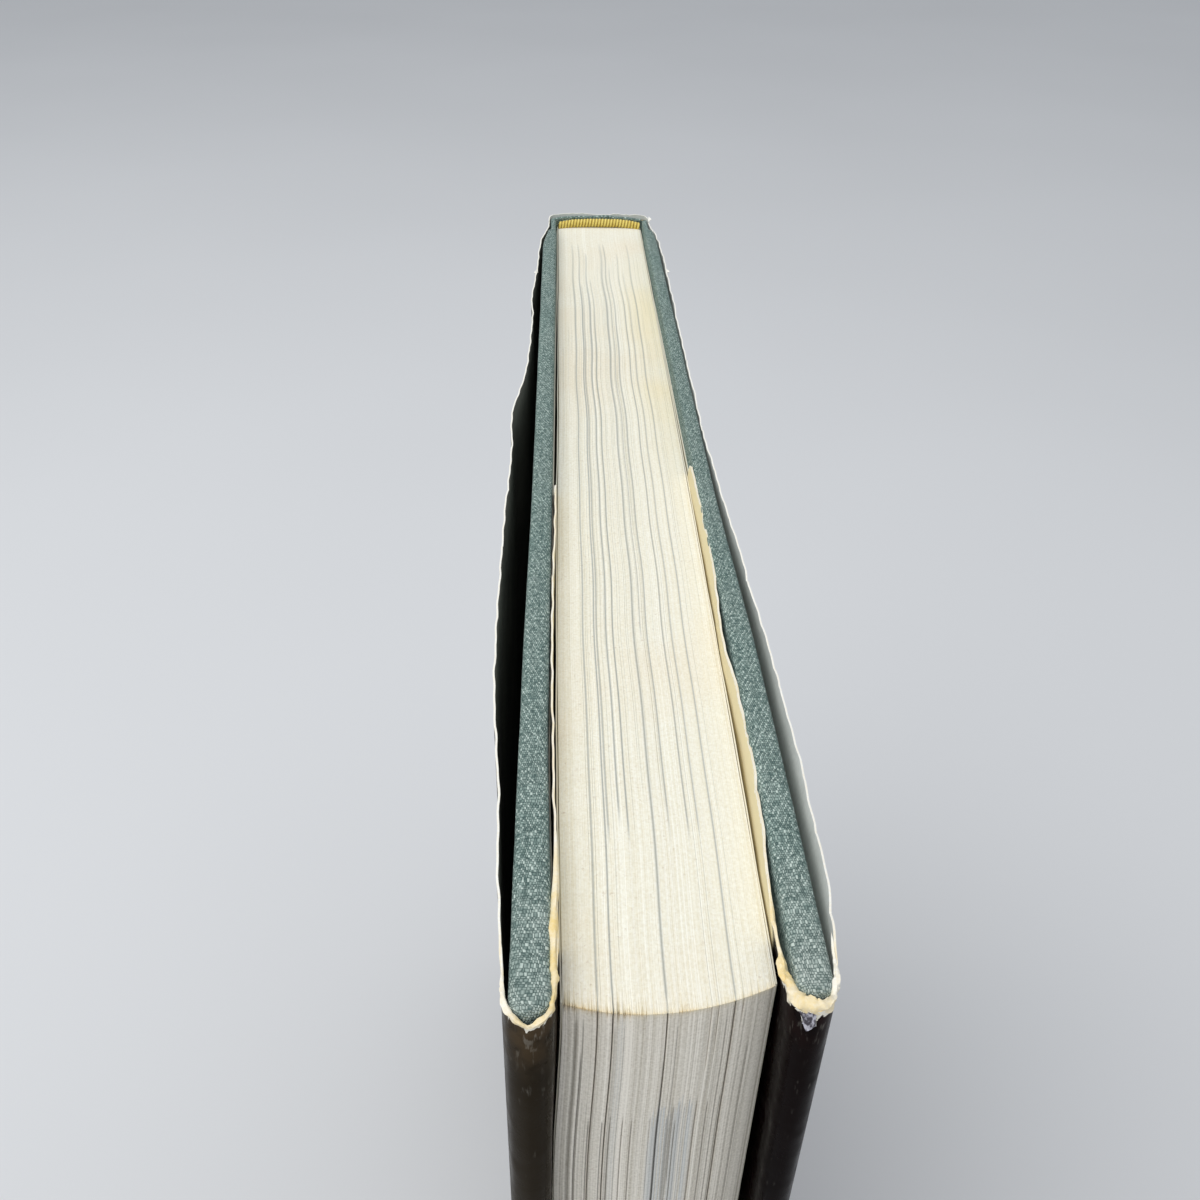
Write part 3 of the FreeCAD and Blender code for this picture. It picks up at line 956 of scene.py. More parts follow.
@dataclass(frozen=True)
class Finishes:
    """All finishes of the book, each made once."""

    leaves: Material
    endpaper: Material
    band: Material
    board: Material
    lining: Material
    cloth: Material
    paper: Material
    # Darkened paper: painted shade for the front jacket's inner face.
    dim_paper: Material
    core: Material
    laminate: Material
    front_print: Material
    back_print: Material
    spine_print: Material

    @classmethod
    def build(cls) -> "Finishes":
        """Makes every finish.

        Returns:
            The finishes.
        """
        # Each print's streak colour is the colour of its painted sheen.
        front = JacketPrint(
            "front_print",
            ground=tint(35, 28, 18),
            panel=tint(74, 64, 45),
            streak=tint(52, 44, 30),
            fields=((28 * MM, 168 * MM, 34 * MM, 150 * MM), (28 * MM, 168 * MM, 176 * MM, 222 * MM)),
        )
        back = JacketPrint(
            "back_print",
            ground=tint(11, 6, 6),
            panel=tint(78, 46, 40),
            streak=tint(24, 14, 13),
            rubbed=tint(46, 24, 22),
            fields=((30 * MM, 166 * MM, 40 * MM, 208 * MM),),
        )
        spine = JacketPrint(
            "spine_print",
            ground=tint(32, 27, 22),
            panel=tint(120, 104, 66),
            streak=tint(54, 46, 36),
            fields=(
                (0.0, 1.0, 204 * MM, 206 * MM),
                (0.0, 1.0, 50 * MM, 52 * MM),
                (7.5 * MM, 17.5 * MM, 110 * MM, 196 * MM),
            ),
        )
        cream = PlainPaper(
            "endpaper", tint(238, 233, 215), tint(235, 229, 208), 28 * MM, 0.5 * MM, 0.8, specular=0.25
        )
        return cls(
            leaves=LeafEdges().build(),
            endpaper=cream.build(),
            band=BandThread().build(),
            board=Strawboard().build(),
            lining=LiningGauze().build(),
            cloth=BookCloth().build(),
            paper=PlainPaper("jacket_paper", tint(232, 234, 228), tint(208, 211, 205)).build(),
            # The front jacket's inner paper is painted dark grey-brown: painted shade for the narrow slot
            # between the jacket and the front board.
            dim_paper=PlainPaper("browned_paper", tint(138, 136, 126), tint(112, 110, 102)).build(),
            core=JacketCore().build(),
            laminate=Laminate().build(),
            front_print=front.build(),
            back_print=back.build(),
            spine_print=spine.build(),
        )


# ---------- text block


class Zone(IntEnum):
    """Faces that the sheet wrapped round the block runs over."""

    SPINE = 0
    HEAD = 1
    FORE = 2
    TAIL = 3


@dataclass(frozen=True)
class Parting:
    """A place where neighbouring leaves stand apart."""

    across: float
    start: float
    stop: float
    depth: float
    # Strength of the painted shade that darkens the parting.
    dark: float
    wide: float = 0.0
    ease: float = 2.5 * MM
    fade: float = 2.5 * MM


@dataclass(frozen=True)
class LeafValues:
    """How the leaves differ from each other, one value a vertex, by its column."""

    across: Array
    share: Array
    fore: Array
    fore_short: Array
    head_short: Array
    tone: Array
    slate: Array
    slate_start: Array
    dent: Array


@dataclass
class TextBlock:
    """The sewn leaves, with their partings, dented rim and stepped fore-edge."""

    places: Places
    leaves: int = 180
    width: float = 188.5 * MM
    swell: float = 1.7 * MM
    skew: float = 0.7 * MM
    front_spread: Knots = (
        (0, 0), (60, 0.04), (88, 0.08), (108, 0.28), (128, 0.36), (150, 0.36), (170, 0.24), (189, 0.02),
    )
    back_spread: Knots = (
        (0, 0), (20, 0.06), (50, 0.24), (80, 0.4), (106, 0.46), (140, 0.46), (168, 0.36), (189, 0.22),
    )
    slump: float = 0.82 * MM
    slump_start: float = 110 * MM
    slump_run: float = 78 * MM
    spine_rise: float = 0.55 * MM
    rise_run: float = 70 * MM
    sway: float = 0.26 * MM
    head_depth: float = 0.14
    through: tuple[float, ...] = (-5.8, -4.5, -0.1, 5.3)
    stopping: tuple[float, ...] = (-4.2, -3.2, -2.4, 1.3, 3.0, 4.0)
    head_start: float = 11 * MM
    head_stop: float = 171 * MM
    slate_lanes: Knots = (
        (-4.3, 0), (-4.1, 0.5), (-3.6, 0.5), (-3.4, 0), (-1.0, 0), (-0.6, 1), (2.8, 1), (3.1, 0),
    )
    dents: Knots = ((-1, 0.13), (-0.45, 0.13), (-0.1, 0.05), (1, 0.04))
    seed: int = 11

    @property
    def height(self) -> float:
        """Height of the leaves."""
        return self.places.head - self.places.tail

    @property
    def whole(self) -> float:
        """Length of the way over the head and down the fore-edge."""
        return self.width + self.height

    def spread(self, side: Side, along: Array) -> Array:
        """How far the outermost leaves stand off towards a cover, which grows to the fore-edge."""
        knots = self.front_spread if side is Side.FRONT else self.back_spread
        return along_knots(np.array(knots) * MM, along)

    def rise(self, along: Array) -> Array:
        """How much higher the leaves stand near the spine, where they are glued."""
        return self.spine_rise * smooth_step(1 - along / self.rise_run)

    def loosen(self, side: Side, along: Array, up: Array) -> Array:
        """How far the outermost leaves lean over towards the front below the head."""
        if side is Side.BACK:
            return np.zeros_like(along)
        slump = self.slump * smooth_step((along - self.slump_start) / self.slump_run)
        return slump * (1 - near_head(self.places.head - up))

    def section(self) -> Array:
        """Rows round the block from the tail of its spine face, as (along, up, zone).

        Returns:
            Along as a fraction of the width, up as a fraction of the height, and the zone.
        """
        near_rim = 1 - np.array([4.2, 3.0, 2.0, 1.2, 0.7, 0.35, 0.12]) * MM / self.width
        head = np.concatenate(([0.0, 0.004, 0.012], np.linspace(0.025, 0.965, 66), near_rim))
        below_rim = np.array([0.0, 0.12, 0.35, 0.8, 1.5, 2.6, 4.0, 6.0]) * MM
        steps = np.concatenate((np.arange(8.0, 19, 0.5), np.arange(20, 70, 2.6), np.arange(74, 240, 8.0)))
        near_tail = self.height - np.array([4.0, 2.0, 0.8, 0.2]) * MM
        down = np.concatenate((below_rim, steps * MM, near_tail))
        rows = [(0.0, part, Zone.SPINE) for part in (0.15, 0.4, 0.7, 0.95)]
        rows += [(part, 1.0, Zone.HEAD) for part in head]
        rows += [(1.0, 1 - part / self.height, Zone.FORE) for part in down]
        rows += [(part, 0.0, Zone.TAIL) for part in np.linspace(1.0, 0.0, 40)]
        return np.array(rows)

    def partings(self) -> list[Parting]:
        """Partings seen on the head and the fore-edge."""
        draw = np.random.default_rng(self.seed)
        kinds = (self.wide_partings, self.stepped_lines, self.fore_lines, self.head_lines)
        return [gap for kind in kinds for gap in kind(draw)]

    def wide_partings(self, draw: np.random.Generator) -> list[Parting]:
        """Wide partings along the head, some through to the tail and some closed near the rim.

        Args:
            draw: Source of the random numbers.

        Returns:
            The partings.
        """
        found = []
        for across in self.through:
            dark, wide = draw.uniform(0.65, 0.9), draw.uniform(1.2, 2.4)
            found.append(Parting(across * MM, self.head_start, self.whole, 0.3 * MM, dark, wide, 40 * MM))
        for across in self.stopping:
            stop = self.head_stop + draw.uniform(-1.5, 1.5) * MM
            start = self.head_start + draw.uniform(0, 34) * MM
            dark, wide = draw.uniform(0.5, 0.85), draw.uniform(1.0, 2.0)
            found.append(Parting(across * MM, start, stop, 0.4 * MM, dark, wide, 40 * MM))
            drop = self.width + draw.uniform(12, 16) * MM
            found.append(Parting((across + 0.1) * MM, drop, self.whole, 0.12 * MM, 0.6))
        found.append(Parting(0.6 * MM, self.head_start, 142 * MM, 0.4 * MM, 0.5, 1.0))
        return found

    def stepped_lines(self, draw: np.random.Generator) -> list[Parting]:
        """Fine lines down the fore-edge whose upper ends climb from leaf to leaf, in two runs."""
        found = []
        for first, pitch, count in ((-0.8, 0.42, 9), (-4.9, 0.3, 3)):
            for step in range(count):
                across = (first + pitch * step) * MM + draw.normal(0, 0.12 * MM)
                start = self.width + (15.6 - 0.3 * step + draw.uniform(-0.8, 0.8)) * MM
                stop = start + draw.uniform(14, 60) * MM
                dark = draw.uniform(0.3, 0.85)
                found.append(Parting(across, start, stop, 0.04 * MM, dark, ease=0.6 * MM, fade=0.6 * MM))
        return found

    def fore_lines(self, draw: np.random.Generator) -> list[Parting]:
        """Lines of painted shade down the fore-edge between leaves, stronger towards the front cover."""
        found = []
        for _ in range(70):
            across = draw.uniform(-8.4, 8.4) * MM
            start = self.width + draw.choice([0.3, 0.3, 0.3, 5, 12, 15, 30, 60]) * MM
            stop = start + draw.uniform(40, 240) * MM
            strength = draw.uniform(0.0, 1.0) ** 2 * 0.55 + 0.14
            strength *= 1.4 if across < -5 * MM else 1.0
            found.append(Parting(across, start, min(stop, self.whole), 0.06 * MM * strength, strength))
        return found

    def head_lines(self, draw: np.random.Generator) -> list[Parting]:
        """Faint lines of painted shade along the head between leaves."""
        found = []
        for _ in range(40):
            across = draw.uniform(-8.2, 8.2) * MM
            start = self.head_start + draw.uniform(-4, 60) * MM
            found.append(Parting(across, start, start + draw.uniform(30, 150) * MM, 0.15 * MM, 0.3))
        return found

    def leaf_values(self, column: Array) -> LeafValues:
        """Draws how the leaves differ; each has a column on its crest and one in the valley.

        Args:
            column: Column of each vertex.

        Returns:
            The values at each vertex.
        """
        draw = np.random.default_rng(self.seed + 1)
        count = 2 * self.leaves + 1

        def doubled(values: Array) -> Array:
            """Gives a leaf's value to both of its columns."""
            return np.repeat(values, 2)[:count]

        across = np.linspace(-self.places.half, self.places.half, count)
        share = across / self.places.half
        valley = np.arange(count) % 2 == 0
        crest = doubled(draw.normal(0, 1, self.leaves + 1))
        swing = Drift(self.seed + 2, 1.0, 0.8 * MM).at(across)
        slate = along_knots(self.slate_lanes, across / MM)
        slate = slate * doubled(draw.uniform(0.0, 1.0, self.leaves + 1))
        slate_start = self.width + np.where(across > -2 * MM, 15.0 * MM - 0.71 * across, MM)
        slate_start = slate_start + doubled(draw.normal(0, 1.3 * MM, self.leaves + 1))
        dent = np.abs(draw.normal(0, 1, count)) ** 1.5 * along_knots(self.dents, share)
        fore = self.width + self.swell * (1 - share**2) - self.skew * share
        fore_short = (0.03 + 0.006 * np.abs(crest) + 0.005 * (1 + swing)) * MM + valley * 0.014 * MM
        head_short = (0.012 + 0.010 * np.abs(crest) + 0.03 * valley) * MM
        tone = 0.26 * crest + 0.05 * crest**3 + 0.04 * swing
        values = (across, share, fore, fore_short, head_short, tone, slate, slate_start, dent)
        return LeafValues(*(value[column] for value in values))

    def path(self, zone: Array, along: Array, up: Array) -> Array:
        """Distance from the spine over the head and down the fore-edge, out of reach elsewhere."""
        down = self.width + (self.places.head - up)
        path = np.where(zone == Zone.HEAD, along, np.where(zone == Zone.FORE, down, self.whole + 1.0))
        return np.where(zone == Zone.SPINE, -1.0, path)

    def open_partings(self, column: Array, path: Array) -> tuple[Array, Array]:
        """Depth of the partings at each vertex, and the strength of the painted shade in them.

        Args:
            column: Column of each vertex.
            path: Its distance over the head and down the fore-edge.

        Returns:
            The depths and the strengths of the painted shade.
        """
        depth, dark = np.zeros_like(path), np.zeros_like(path)
        for gap in self.partings():
            middle = round((gap.across / self.places.half + 1) * self.leaves)
            middle += middle % 2
            far = smooth_step(1 - path / (120 * MM))
            reach = np.where(path < self.width, 1.0 + gap.wide * (1 + 1.6 * far), 1.0 + 0.5 * gap.dark)
            shape = np.clip(1 - np.abs(column - middle) / reach, 0, 1) ** 0.7
            fade = smooth_step((path - gap.start) / gap.fade) * smooth_step((gap.stop - path) / (2.5 * MM))
            fade = fade * (0.4 + 0.6 * smooth_step((path - gap.start) / gap.ease))
            depth = np.maximum(depth, gap.depth * shape * fade)
            dark = np.maximum(dark, gap.dark * shape * fade)
        return depth, dark

    def bend(self, leaf: LeafValues, path: Array, along: Array, up: Array) -> Array:
        """Where the leaves stand across the block once they have swayed and spread."""
        sway = Drift(self.seed + 3, self.sway, 22 * MM).at(np.clip(path, 0, None))
        fore = self.width
        knots = ((0, 1.25), (fore - 60 * MM, 0.8), (fore, 0.45), (fore + 30 * MM, 0.35))
        x = leaf.across + sway * along_knots(knots, path) * (1 - leaf.share**2)
        front = self.spread(Side.FRONT, along) + self.loosen(Side.FRONT, along, up)
        x = x + np.where(x < 0, leaf.share * front, 0.0)
        return x + np.where(x > 0, leaf.share * self.spread(Side.BACK, along), 0.0)

    def build(self, finishes: Finishes) -> Piece:
        """Makes the block of leaves.

        Args:
            finishes: The book's finishes.

        Returns:
            The finished piece.
        """
        rows = self.section()
        piece, column, row = add_grid("leaf_block", 2 * self.leaves, len(rows))
        leaf = self.leaf_values(column)
        part_along, part_up, zone = rows[row % len(rows)].T
        on_head, on_fore = zone == Zone.HEAD, zone == Zone.FORE
        along = part_along * leaf.fore
        up = self.places.tail + part_up * self.height
        path = self.path(zone, along, up)
        depth, dark = self.open_partings(column, path)
        inside = (np.abs(leaf.share) < 0.999).astype(float)
        depth, dark = depth * inside, dark * inside

        from_rim = np.where(on_head, leaf.fore - along, np.where(on_fore, self.places.head - up, 1.0))
        teeth = leaf.dent * MM * np.exp(-np.maximum(from_rim, 0) / (0.6 * MM))
        ease_head = smooth_step(along / (3 * MM)) * on_head
        sunk = leaf.head_short + self.head_depth * depth
        up = up - on_head * sunk * ease_head - teeth * (on_head | on_fore)
        up = up + on_head * self.rise(along)
        up = up + (zone == Zone.TAIL) * (leaf.head_short + 0.02 * MM)
        ease_fore = on_fore * smooth_step((self.places.head - up) / (0.4 * MM))
        along = along - leaf.fore_short * np.where(on_fore, 0.4 + 0.6 * ease_fore, part_along)
        along = along - ease_fore * depth - teeth * 0.7 * on_fore
        x = self.bend(leaf, path, along, up)
        write_points(piece, np.column_stack((x + self.places.middle, self.places.spine - along, up)))

        loop = run_along(rows[:, :2] * (self.width, self.height))
        loop = np.append(loop, loop[-1] + 0.15 * self.height)
        write_uv(piece, np.column_stack((leaf.across, loop[row])))
        rim = np.exp(-np.maximum(from_rim, 0) / (0.24 * MM)) * (on_head | on_fore)
        grey = smooth_step((path - leaf.slate_start) / (0.6 * MM))
        grey = grey * smooth_step(1.6 - (path - self.width) / (110 * MM))
        tan = smooth_step((along - 14 * MM) / (30 * MM)) * smooth_step((118 * MM - along) / (50 * MM))
        write_marks(
            piece,
            tone=leaf.tone,
            fore=on_fore * smooth_step((self.places.head - up) / (0.5 * MM)),
            # Strength of the painted shade in the partings.
            gap=dark,
            grey=on_fore * leaf.slate * grey,
            aged=on_head * tan * smooth_step((leaf.share - 0.1) / 0.7) * 0.4,
            rim=rim * np.where(leaf.share < -0.3, 0.75, 0.55),
        )
        self.close(piece)
        soften(piece, 60)
        dress(piece, finishes.leaves)
        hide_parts("text_block")
        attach(piece, "block")
        return piece

    def close(self, piece: Piece) -> None:
        """Joins the wrapped sheet's seam and fills the block's two sides.

        Args:
            piece: The block.
        """
        with editing(piece):
            bpy.ops.mesh.select_all(action="SELECT")
            bpy.ops.mesh.remove_doubles(threshold=0.001 * MM)
            shape = bmesh.from_edit_mesh(piece.data)
            bpy.ops.mesh.select_mode(type="EDGE")
            bpy.ops.mesh.select_all(action="DESELECT")
            for back in (True, False):
                open_edges = [edge for edge in shape.edges if edge.is_boundary]
                rim = [edge for edge in open_edges if (edge.verts[0].co.x > self.places.middle) is back]
                bmesh.ops.contextual_create(shape, geom=rim)
            bmesh.update_edit_mesh(piece.data)
        turn_outwards(piece)


@dataclass
class EndBand:
    """Ribbed band of wound thread across the end of the spine, on its glued tape."""

    name: str
    node: str
    up: float
    places: Places
    ribs: int = 27
    radius: float = 0.66 * MM
    bulge: float = 1.3
    slant: float = 0.22
    tape: float = 9.5 * MM

    def build(self, finishes: Finishes) -> Piece:
        """Makes the band from one rib, repeated, and joins it to its tape.

        Args:
            finishes: The book's finishes.

        Returns:
            The finished piece.
        """
        low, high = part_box(self.node)
        pitch = (high.x - low.x) / self.ribs
        piece = self.build_rib(low.x + pitch / 2, high.y - 0.8 * MM, pitch)
        self.repeat(piece, pitch)
        self.lay_down(piece, low.x, high.x)
        soften(piece, 50)
        tape = self.build_tape(low.x, high.x)
        take(piece)
        tape.select_set(True)
        bpy.ops.object.join()
        dress(piece, finishes.band)
        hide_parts(self.node)
        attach(piece, "block")
        return piece

    def build_rib(self, x: float, y: float, pitch: float) -> Piece:
        """Makes one open turn of thread, rounded and slanted.

        Args:
            x: Middle of the turn across the book.
            y: Its middle along the book.
            pitch: Width of a turn.

        Returns:
            The turn.
        """
        bpy.ops.mesh.primitive_cylinder_add(
            vertices=20,
            radius=self.radius,
            depth=pitch,
            end_fill_type="NOTHING",
            location=(x, y, self.up),
            rotation=(0, math.pi / 2, 0),
        )
        piece = named(self.name)
        settle(piece)
        slice_across(piece, 0, [x - pitch * 0.3, x, x + pitch * 0.3])
        points = read_points(piece)
        part = np.abs(points[:, 0] - x) / (pitch / 2)
        grow = 1 + (self.bulge - 1) * np.sqrt(np.clip(1 - part**2, 0, 1))
        points[:, 1] = y + (points[:, 1] - y) * grow
        points[:, 2] = self.up + (points[:, 2] - self.up) * grow
        points[:, 0] += (points[:, 2] - self.up) * self.slant
        write_points(piece, points)
        # Marks the hollows between the turns for painted shade.
        write_marks(piece, hollow=part**2)
        return piece

    def repeat(self, piece: Piece, pitch: float) -> None:
        """Repeats the turn over the whole width and closes both ends.

        Args:
            piece: The turn.
            pitch: Width of a turn.
        """
        shift = {"use_relative_offset": False, "use_constant_offset": True}
        weld = {"use_merge_vertices": True, "merge_threshold": 0.01 * MM}
        apply_modifier(
            piece, "ARRAY", count=self.ribs, constant_offset_displace=(pitch, 0, 0), **shift, **weld
        )
        with editing(piece):
            bpy.ops.mesh.select_mode(type="EDGE")
            bpy.ops.mesh.select_all(action="DESELECT")
            bpy.ops.mesh.select_non_manifold()
            bpy.ops.mesh.edge_face_add()
        turn_outwards(piece)

    def lay_down(self, piece: Piece, left: float, right: float) -> None:
        """Bends the band's two ends down towards the leaves and in from the spine."""
        points = read_points(piece)
        points[:, 0] = np.clip(points[:, 0], left, right)
        points[:, 2] += Drift(5, 0.04 * MM, 3 * MM).at(points[:, 0])
        out = np.abs(points[:, 0] - self.places.middle) / self.places.half
        points[:, 1] += (0.25 - 0.7 * out**4) * MM
        points[:, 2] -= self.outwards * 0.5 * MM * out**3
        write_points(piece, points)

    @property
    def outwards(self) -> int:
        """Way out of the book along Z: 1 at the head and -1 at the tail."""
        return 1 if self.up > self.places.head / 2 else -1

    def build_tape(self, left: float, right: float) -> Piece:
        """Makes the tape that runs from the band down the glued spine of the leaves."""
        inset, face = 0.2 * MM, self.places.spine
        bottom, top = sorted((self.up, self.up - self.outwards * self.tape))
        return add_block(
            f"{self.name}_tape",
            (left + inset, face + 0.02 * MM, bottom),
            (right - inset, face + 0.28 * MM, top),
        )


@dataclass
class Flyleaf:
    """Loose half of an endpaper, lying on the side of the leaves."""

    plane: CoverPlane
    block: TextBlock
    thickness: float = 0.14 * MM

    def build(self, finishes: Finishes) -> Piece:
        """Makes the flyleaf.

        Args:
            finishes: The book's finishes.

        Returns:
            The finished piece.
        """
        places, side = self.plane.places, self.plane.side
        end = self.block.width - side.value * self.block.skew - 0.3 * MM
        along = np.linspace(0.1 * MM, end, 110)
        out = places.half + self.block.spread(side, along) + self.thickness * 0.62
        line = np.column_stack((out, along))
        wave = Drift(40 + side.value, 0.08 * MM, 11 * MM).at(along)

        def place(flat: Array, up: Array) -> Array:
            """Places the leaf's points beside the leaves."""
            x = places.middle + side.value * (flat[:, 0] + self.block.loosen(side, flat[:, 1], up))
            return np.column_stack((x, places.spine - flat[:, 1], up))

        sheet = Sheet(
            f"{side.word}_fly_sheet",
            line,
            places.tail,
            places.head - 0.1 * MM + wave + self.block.rise(along),
            self.thickness,
            place,
            [finishes.endpaper],
            flip=side is Side.BACK,
            lean=0.06 * MM * (1 + Drift(60, 1.0, 15 * MM).at(along)),
        )
        piece = sheet.build()
        dress(piece, finishes.endpaper)
        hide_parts(f"{side.word}_flyleaf")
        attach(piece, "block")
        return piece


# ---------- case


@dataclass
class Spine:
    """Cloth round the stiff strip of the spine, between the two joints."""

    places: Places
    thickness: float = 0.82 * MM
    leg_out: float = 9.72 * MM
    leg_end: float = 1.6 * MM
    back: float = 1.1 * MM
    corner: float = 0.6 * MM

    def plan(self) -> Array:
        """Centre line from the front joint round the spine to the back joint.

        Returns:
            Rows of (x from the middle plane, outward from the spine face).
        """
        half = [(-self.leg_out, -y) for y in np.linspace(self.leg_end, 0.2 * MM, 4)]
        turn = np.linspace(0, math.pi / 2, 7)
        centre_x, centre_y = -self.leg_out + self.corner, self.back - self.corner
        half += [(centre_x - self.corner * math.cos(a), centre_y + self.corner * math.sin(a)) for a in turn]
        half += [(x, self.back) for x in np.linspace(centre_x, 0, 20)[1:]]
        return np.array(mirrored(half))

    def build(self, finishes: Finishes) -> Piece:
        """Makes the spine's cloth.

        Args:
            finishes: The book's finishes.

        Returns:
            The finished piece.
        """
        plan = self.plan()
        run = run_along(plan)
        wave = Drift(71, 0.16 * MM, 5 * MM).at(run)

        def place(flat: Array, up: Array) -> Array:
            """Places the cloth's points, with a slight sag."""
            sag = Drift(73, 0.08 * MM, 7 * MM).at(flat[:, 0]) * np.clip((up - 0.2) / 0.05, 0, 1)
            points = self.places.from_spine(flat, up)
            points[:, 1] += sag
            return points

        sheet = Sheet(
            "spine_wrap",
            plan,
            self.places.floor,
            self.places.top - (0.55 + 0.85 * np.abs(plan[:, 0] / self.leg_out) ** 2.4) * MM + wave,
            self.thickness,
            place,
            [finishes.cloth],
            flip=True,
        )
        piece = sheet.build()
        self.round_rims(piece)
        write_marks(piece, wear=np.full(len(piece.data.vertices), 0.15))
        dress(piece, finishes.cloth)
        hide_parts("spine_cloth")
        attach(piece, "block")
        return piece

    def build_strip(self, finishes: Finishes) -> Piece:
        """Makes the card strip that stiffens the spine, inside its cloth."""
        low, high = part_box("spine_strip")
        piece = add_block("spine_stiffener", low, (high.x, high.y, high.z - 1.0 * MM))
        apply_modifier(piece, "BEVEL", width=0.08 * MM, segments=2)
        soften(piece)
        dress(piece, finishes.board)
        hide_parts("spine_strip")
        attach(piece, "block")
        return piece

    def round_rims(self, piece: Piece) -> None:
        """Rounds the turned-in edges at head and tail.

        Args:
            piece: The spine's cloth.
        """
        top = self.places.top - 1.2 * MM
        low = self.places.floor + 0.02 * MM

        def sharp_rim(edge: Edge) -> bool:
            """Says whether an edge is a sharp level one at the head or the tail."""
            a, b = (end.co for end in edge.verts)
            level = abs(a.z - b.z) < 0.15 * MM and math.hypot(a.x - b.x, a.y - b.y) > 0.01 * MM
            at_rim = min(a.z, b.z) > top or max(a.z, b.z) < low
            return level and at_rim and edge.calc_face_angle(0.0) > math.radians(50)

        with editing(piece):
            pick(piece, "EDGE", sharp_rim)
            bpy.ops.mesh.bevel(offset=0.3 * MM, segments=3, affect="EDGES", clamp_overlap=True)
        soften(piece, 50)


@dataclass
class Cover:
    """One board in its cloth, with the cloth's joint, its board and its pastedown."""

    plane: CoverPlane
    slim: float
    swell: float
    end: float
    inner: float = 8.95 * MM
    outer: float = 11.85 * MM
    start: float = 9.2 * MM
    edge_round: float = 0.8 * MM
    corner_round: float = 1.44 * MM
    joint_out: float = 9.64 * MM
    joint_thick: float = 1.1 * MM
    taper: float = 1.05 * MM
    taper_end: float = 17.0 * MM
    swell_start: float = 158.0 * MM
    slim_run: float = 8 * MM
    slim_stop: float = 150 * MM
    slim_fade: float = 40 * MM
    droop: float = 0.7 * MM
    droop_reach: float = 12 * MM
    droop_fade: float = 9 * MM
    droop_depth: float = 20 * MM
    joint_slope: float = 0.8 * MM
    joint_end: float = 1.0 * MM
    cloth: float = 0.3 * MM

    def build_wrap(self, finishes: Finishes) -> Piece:
        """Makes the cloth over the board and its strip across the joint.

        Args:
            finishes: The book's finishes.

        Returns:
            The finished piece.
        """
        side, places = self.plane.side, self.plane.places
        edge = sorted((side.value * self.inner, side.value * self.outer))
        piece = add_block(
            f"{side.word}_cover_wrap",
            (edge[0], -self.end, places.floor),
            (edge[1], -self.start, places.top),
        )
        near = 0.01 * MM

        def upright_at_end(edge: Edge) -> bool:
            """Says whether an edge is an upright one at the fore-edge."""
            a, b = (end.co for end in edge.verts)
            return abs(a.z - b.z) > near and max(a.y, b.y) < -self.end + near

        def round_the_rim(edge: Edge) -> bool:
            """Says whether an edge runs round the board, but not across the joint."""
            a, b = (end.co for end in edge.verts)
            top = min(a.z, b.z) > places.top - near
            foot = max(a.z, b.z) < places.floor + near
            across = abs(a.y - b.y) < near and min(a.y, b.y) > -self.start - near
            return (top or foot) and not across

        with editing(piece):
            pick(piece, "EDGE", upright_at_end)
            bpy.ops.mesh.bevel(offset=self.corner_round, segments=6, affect="EDGES")
            pick(piece, "EDGE", round_the_rim)
            bpy.ops.mesh.bevel(offset=self.edge_round, segments=5, affect="EDGES")
            pick(piece, "FACE", lambda face: face.normal.y > 0.9)
            self.draw_joint()
        near_joint, near_end = (10.2, 11.2, 12.6), (185.4, 186.7, 187.7, 188.6, 189.5)
        cuts = np.concatenate((near_joint, np.arange(14, 184, 4.0), near_end))
        slice_across(piece, 1, list(-cuts * MM))
        slice_across(piece, 2, [z * MM for z in np.arange(12, 244, 14.0)])
        self.finish_wrap(piece, finishes)
        return piece

    def draw_joint(self) -> None:
        """Draws the spine-side face of the board down into the joint and on to the spine."""
        side = self.plane.side.value
        middle = (self.inner + self.outer) / 2
        centre = (side * middle, -self.start, (self.plane.places.floor + self.plane.places.top) / 2)
        bpy.ops.mesh.extrude_region_move(TRANSFORM_OT_translate={"value": (0, self.joint_slope, 0)})
        squeeze = self.joint_thick / (self.outer - self.inner)
        bpy.ops.transform.resize(value=(squeeze, 0.9995, 1), center_override=centre)
        bpy.ops.transform.translate(value=(side * (self.joint_out - middle), 0, 0))
        run = self.start - self.joint_slope - self.joint_end
        for _ in range(8):
            bpy.ops.mesh.extrude_region_move(TRANSFORM_OT_translate={"value": (0, run / 8, 0)})

    def finish_wrap(self, piece: Piece, finishes: Finishes) -> None:
        """Unrolls the cloth, works small unevenness into it, and sets it on the book.

        Args:
            piece: The cloth.
            finishes: The book's finishes.
        """
        side, places = self.plane.side.value, self.plane.places
        points = self.shape_faces(read_points(piece))
        normals = np.empty(len(points) * 3)
        piece.data.vertices.foreach_get("normal", normals)
        normals = normals.reshape(-1, 3)
        out, along, up = side * points[:, 0], -points[:, 1], points[:, 2]
        lump = Drift(90 + side, 0.05 * MM, 9 * MM)
        fold = Drift(95 + side, 0.07 * MM, 1.9 * MM)
        near_end = np.exp(-(self.end - along) / (5 * MM))
        wave = lump.at(along + 0.7 * up) + fold.at(along + 0.4 * out) * near_end
        at_edge = np.exp(-np.minimum(places.top - up, up - places.floor) / (2 * MM))
        away = np.exp(-(self.end - along) / (4 * MM))
        bump = wave * (0.35 + 0.65 * at_edge) * (along > self.start)
        corner = at_edge * away
        self.lay_uv(piece)
        moved = points + normals * (np.minimum(bump, 0.0) - 0.12 * MM * corner)[:, None]
        write_points(piece, self.plane.to_row(moved))
        wear = np.clip(1.25 * corner + 0.22 * at_edge + 0.45 * away, 0, 1)
        write_marks(piece, wear=wear * 0.75)
        soften(piece, 35)
        dress(piece, finishes.cloth)
        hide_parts(f"{self.plane.side.word}_cloth")
        self.plane.along_y(1 * MM)
        self.plane.along_y(9.2 * MM)
        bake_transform(piece)

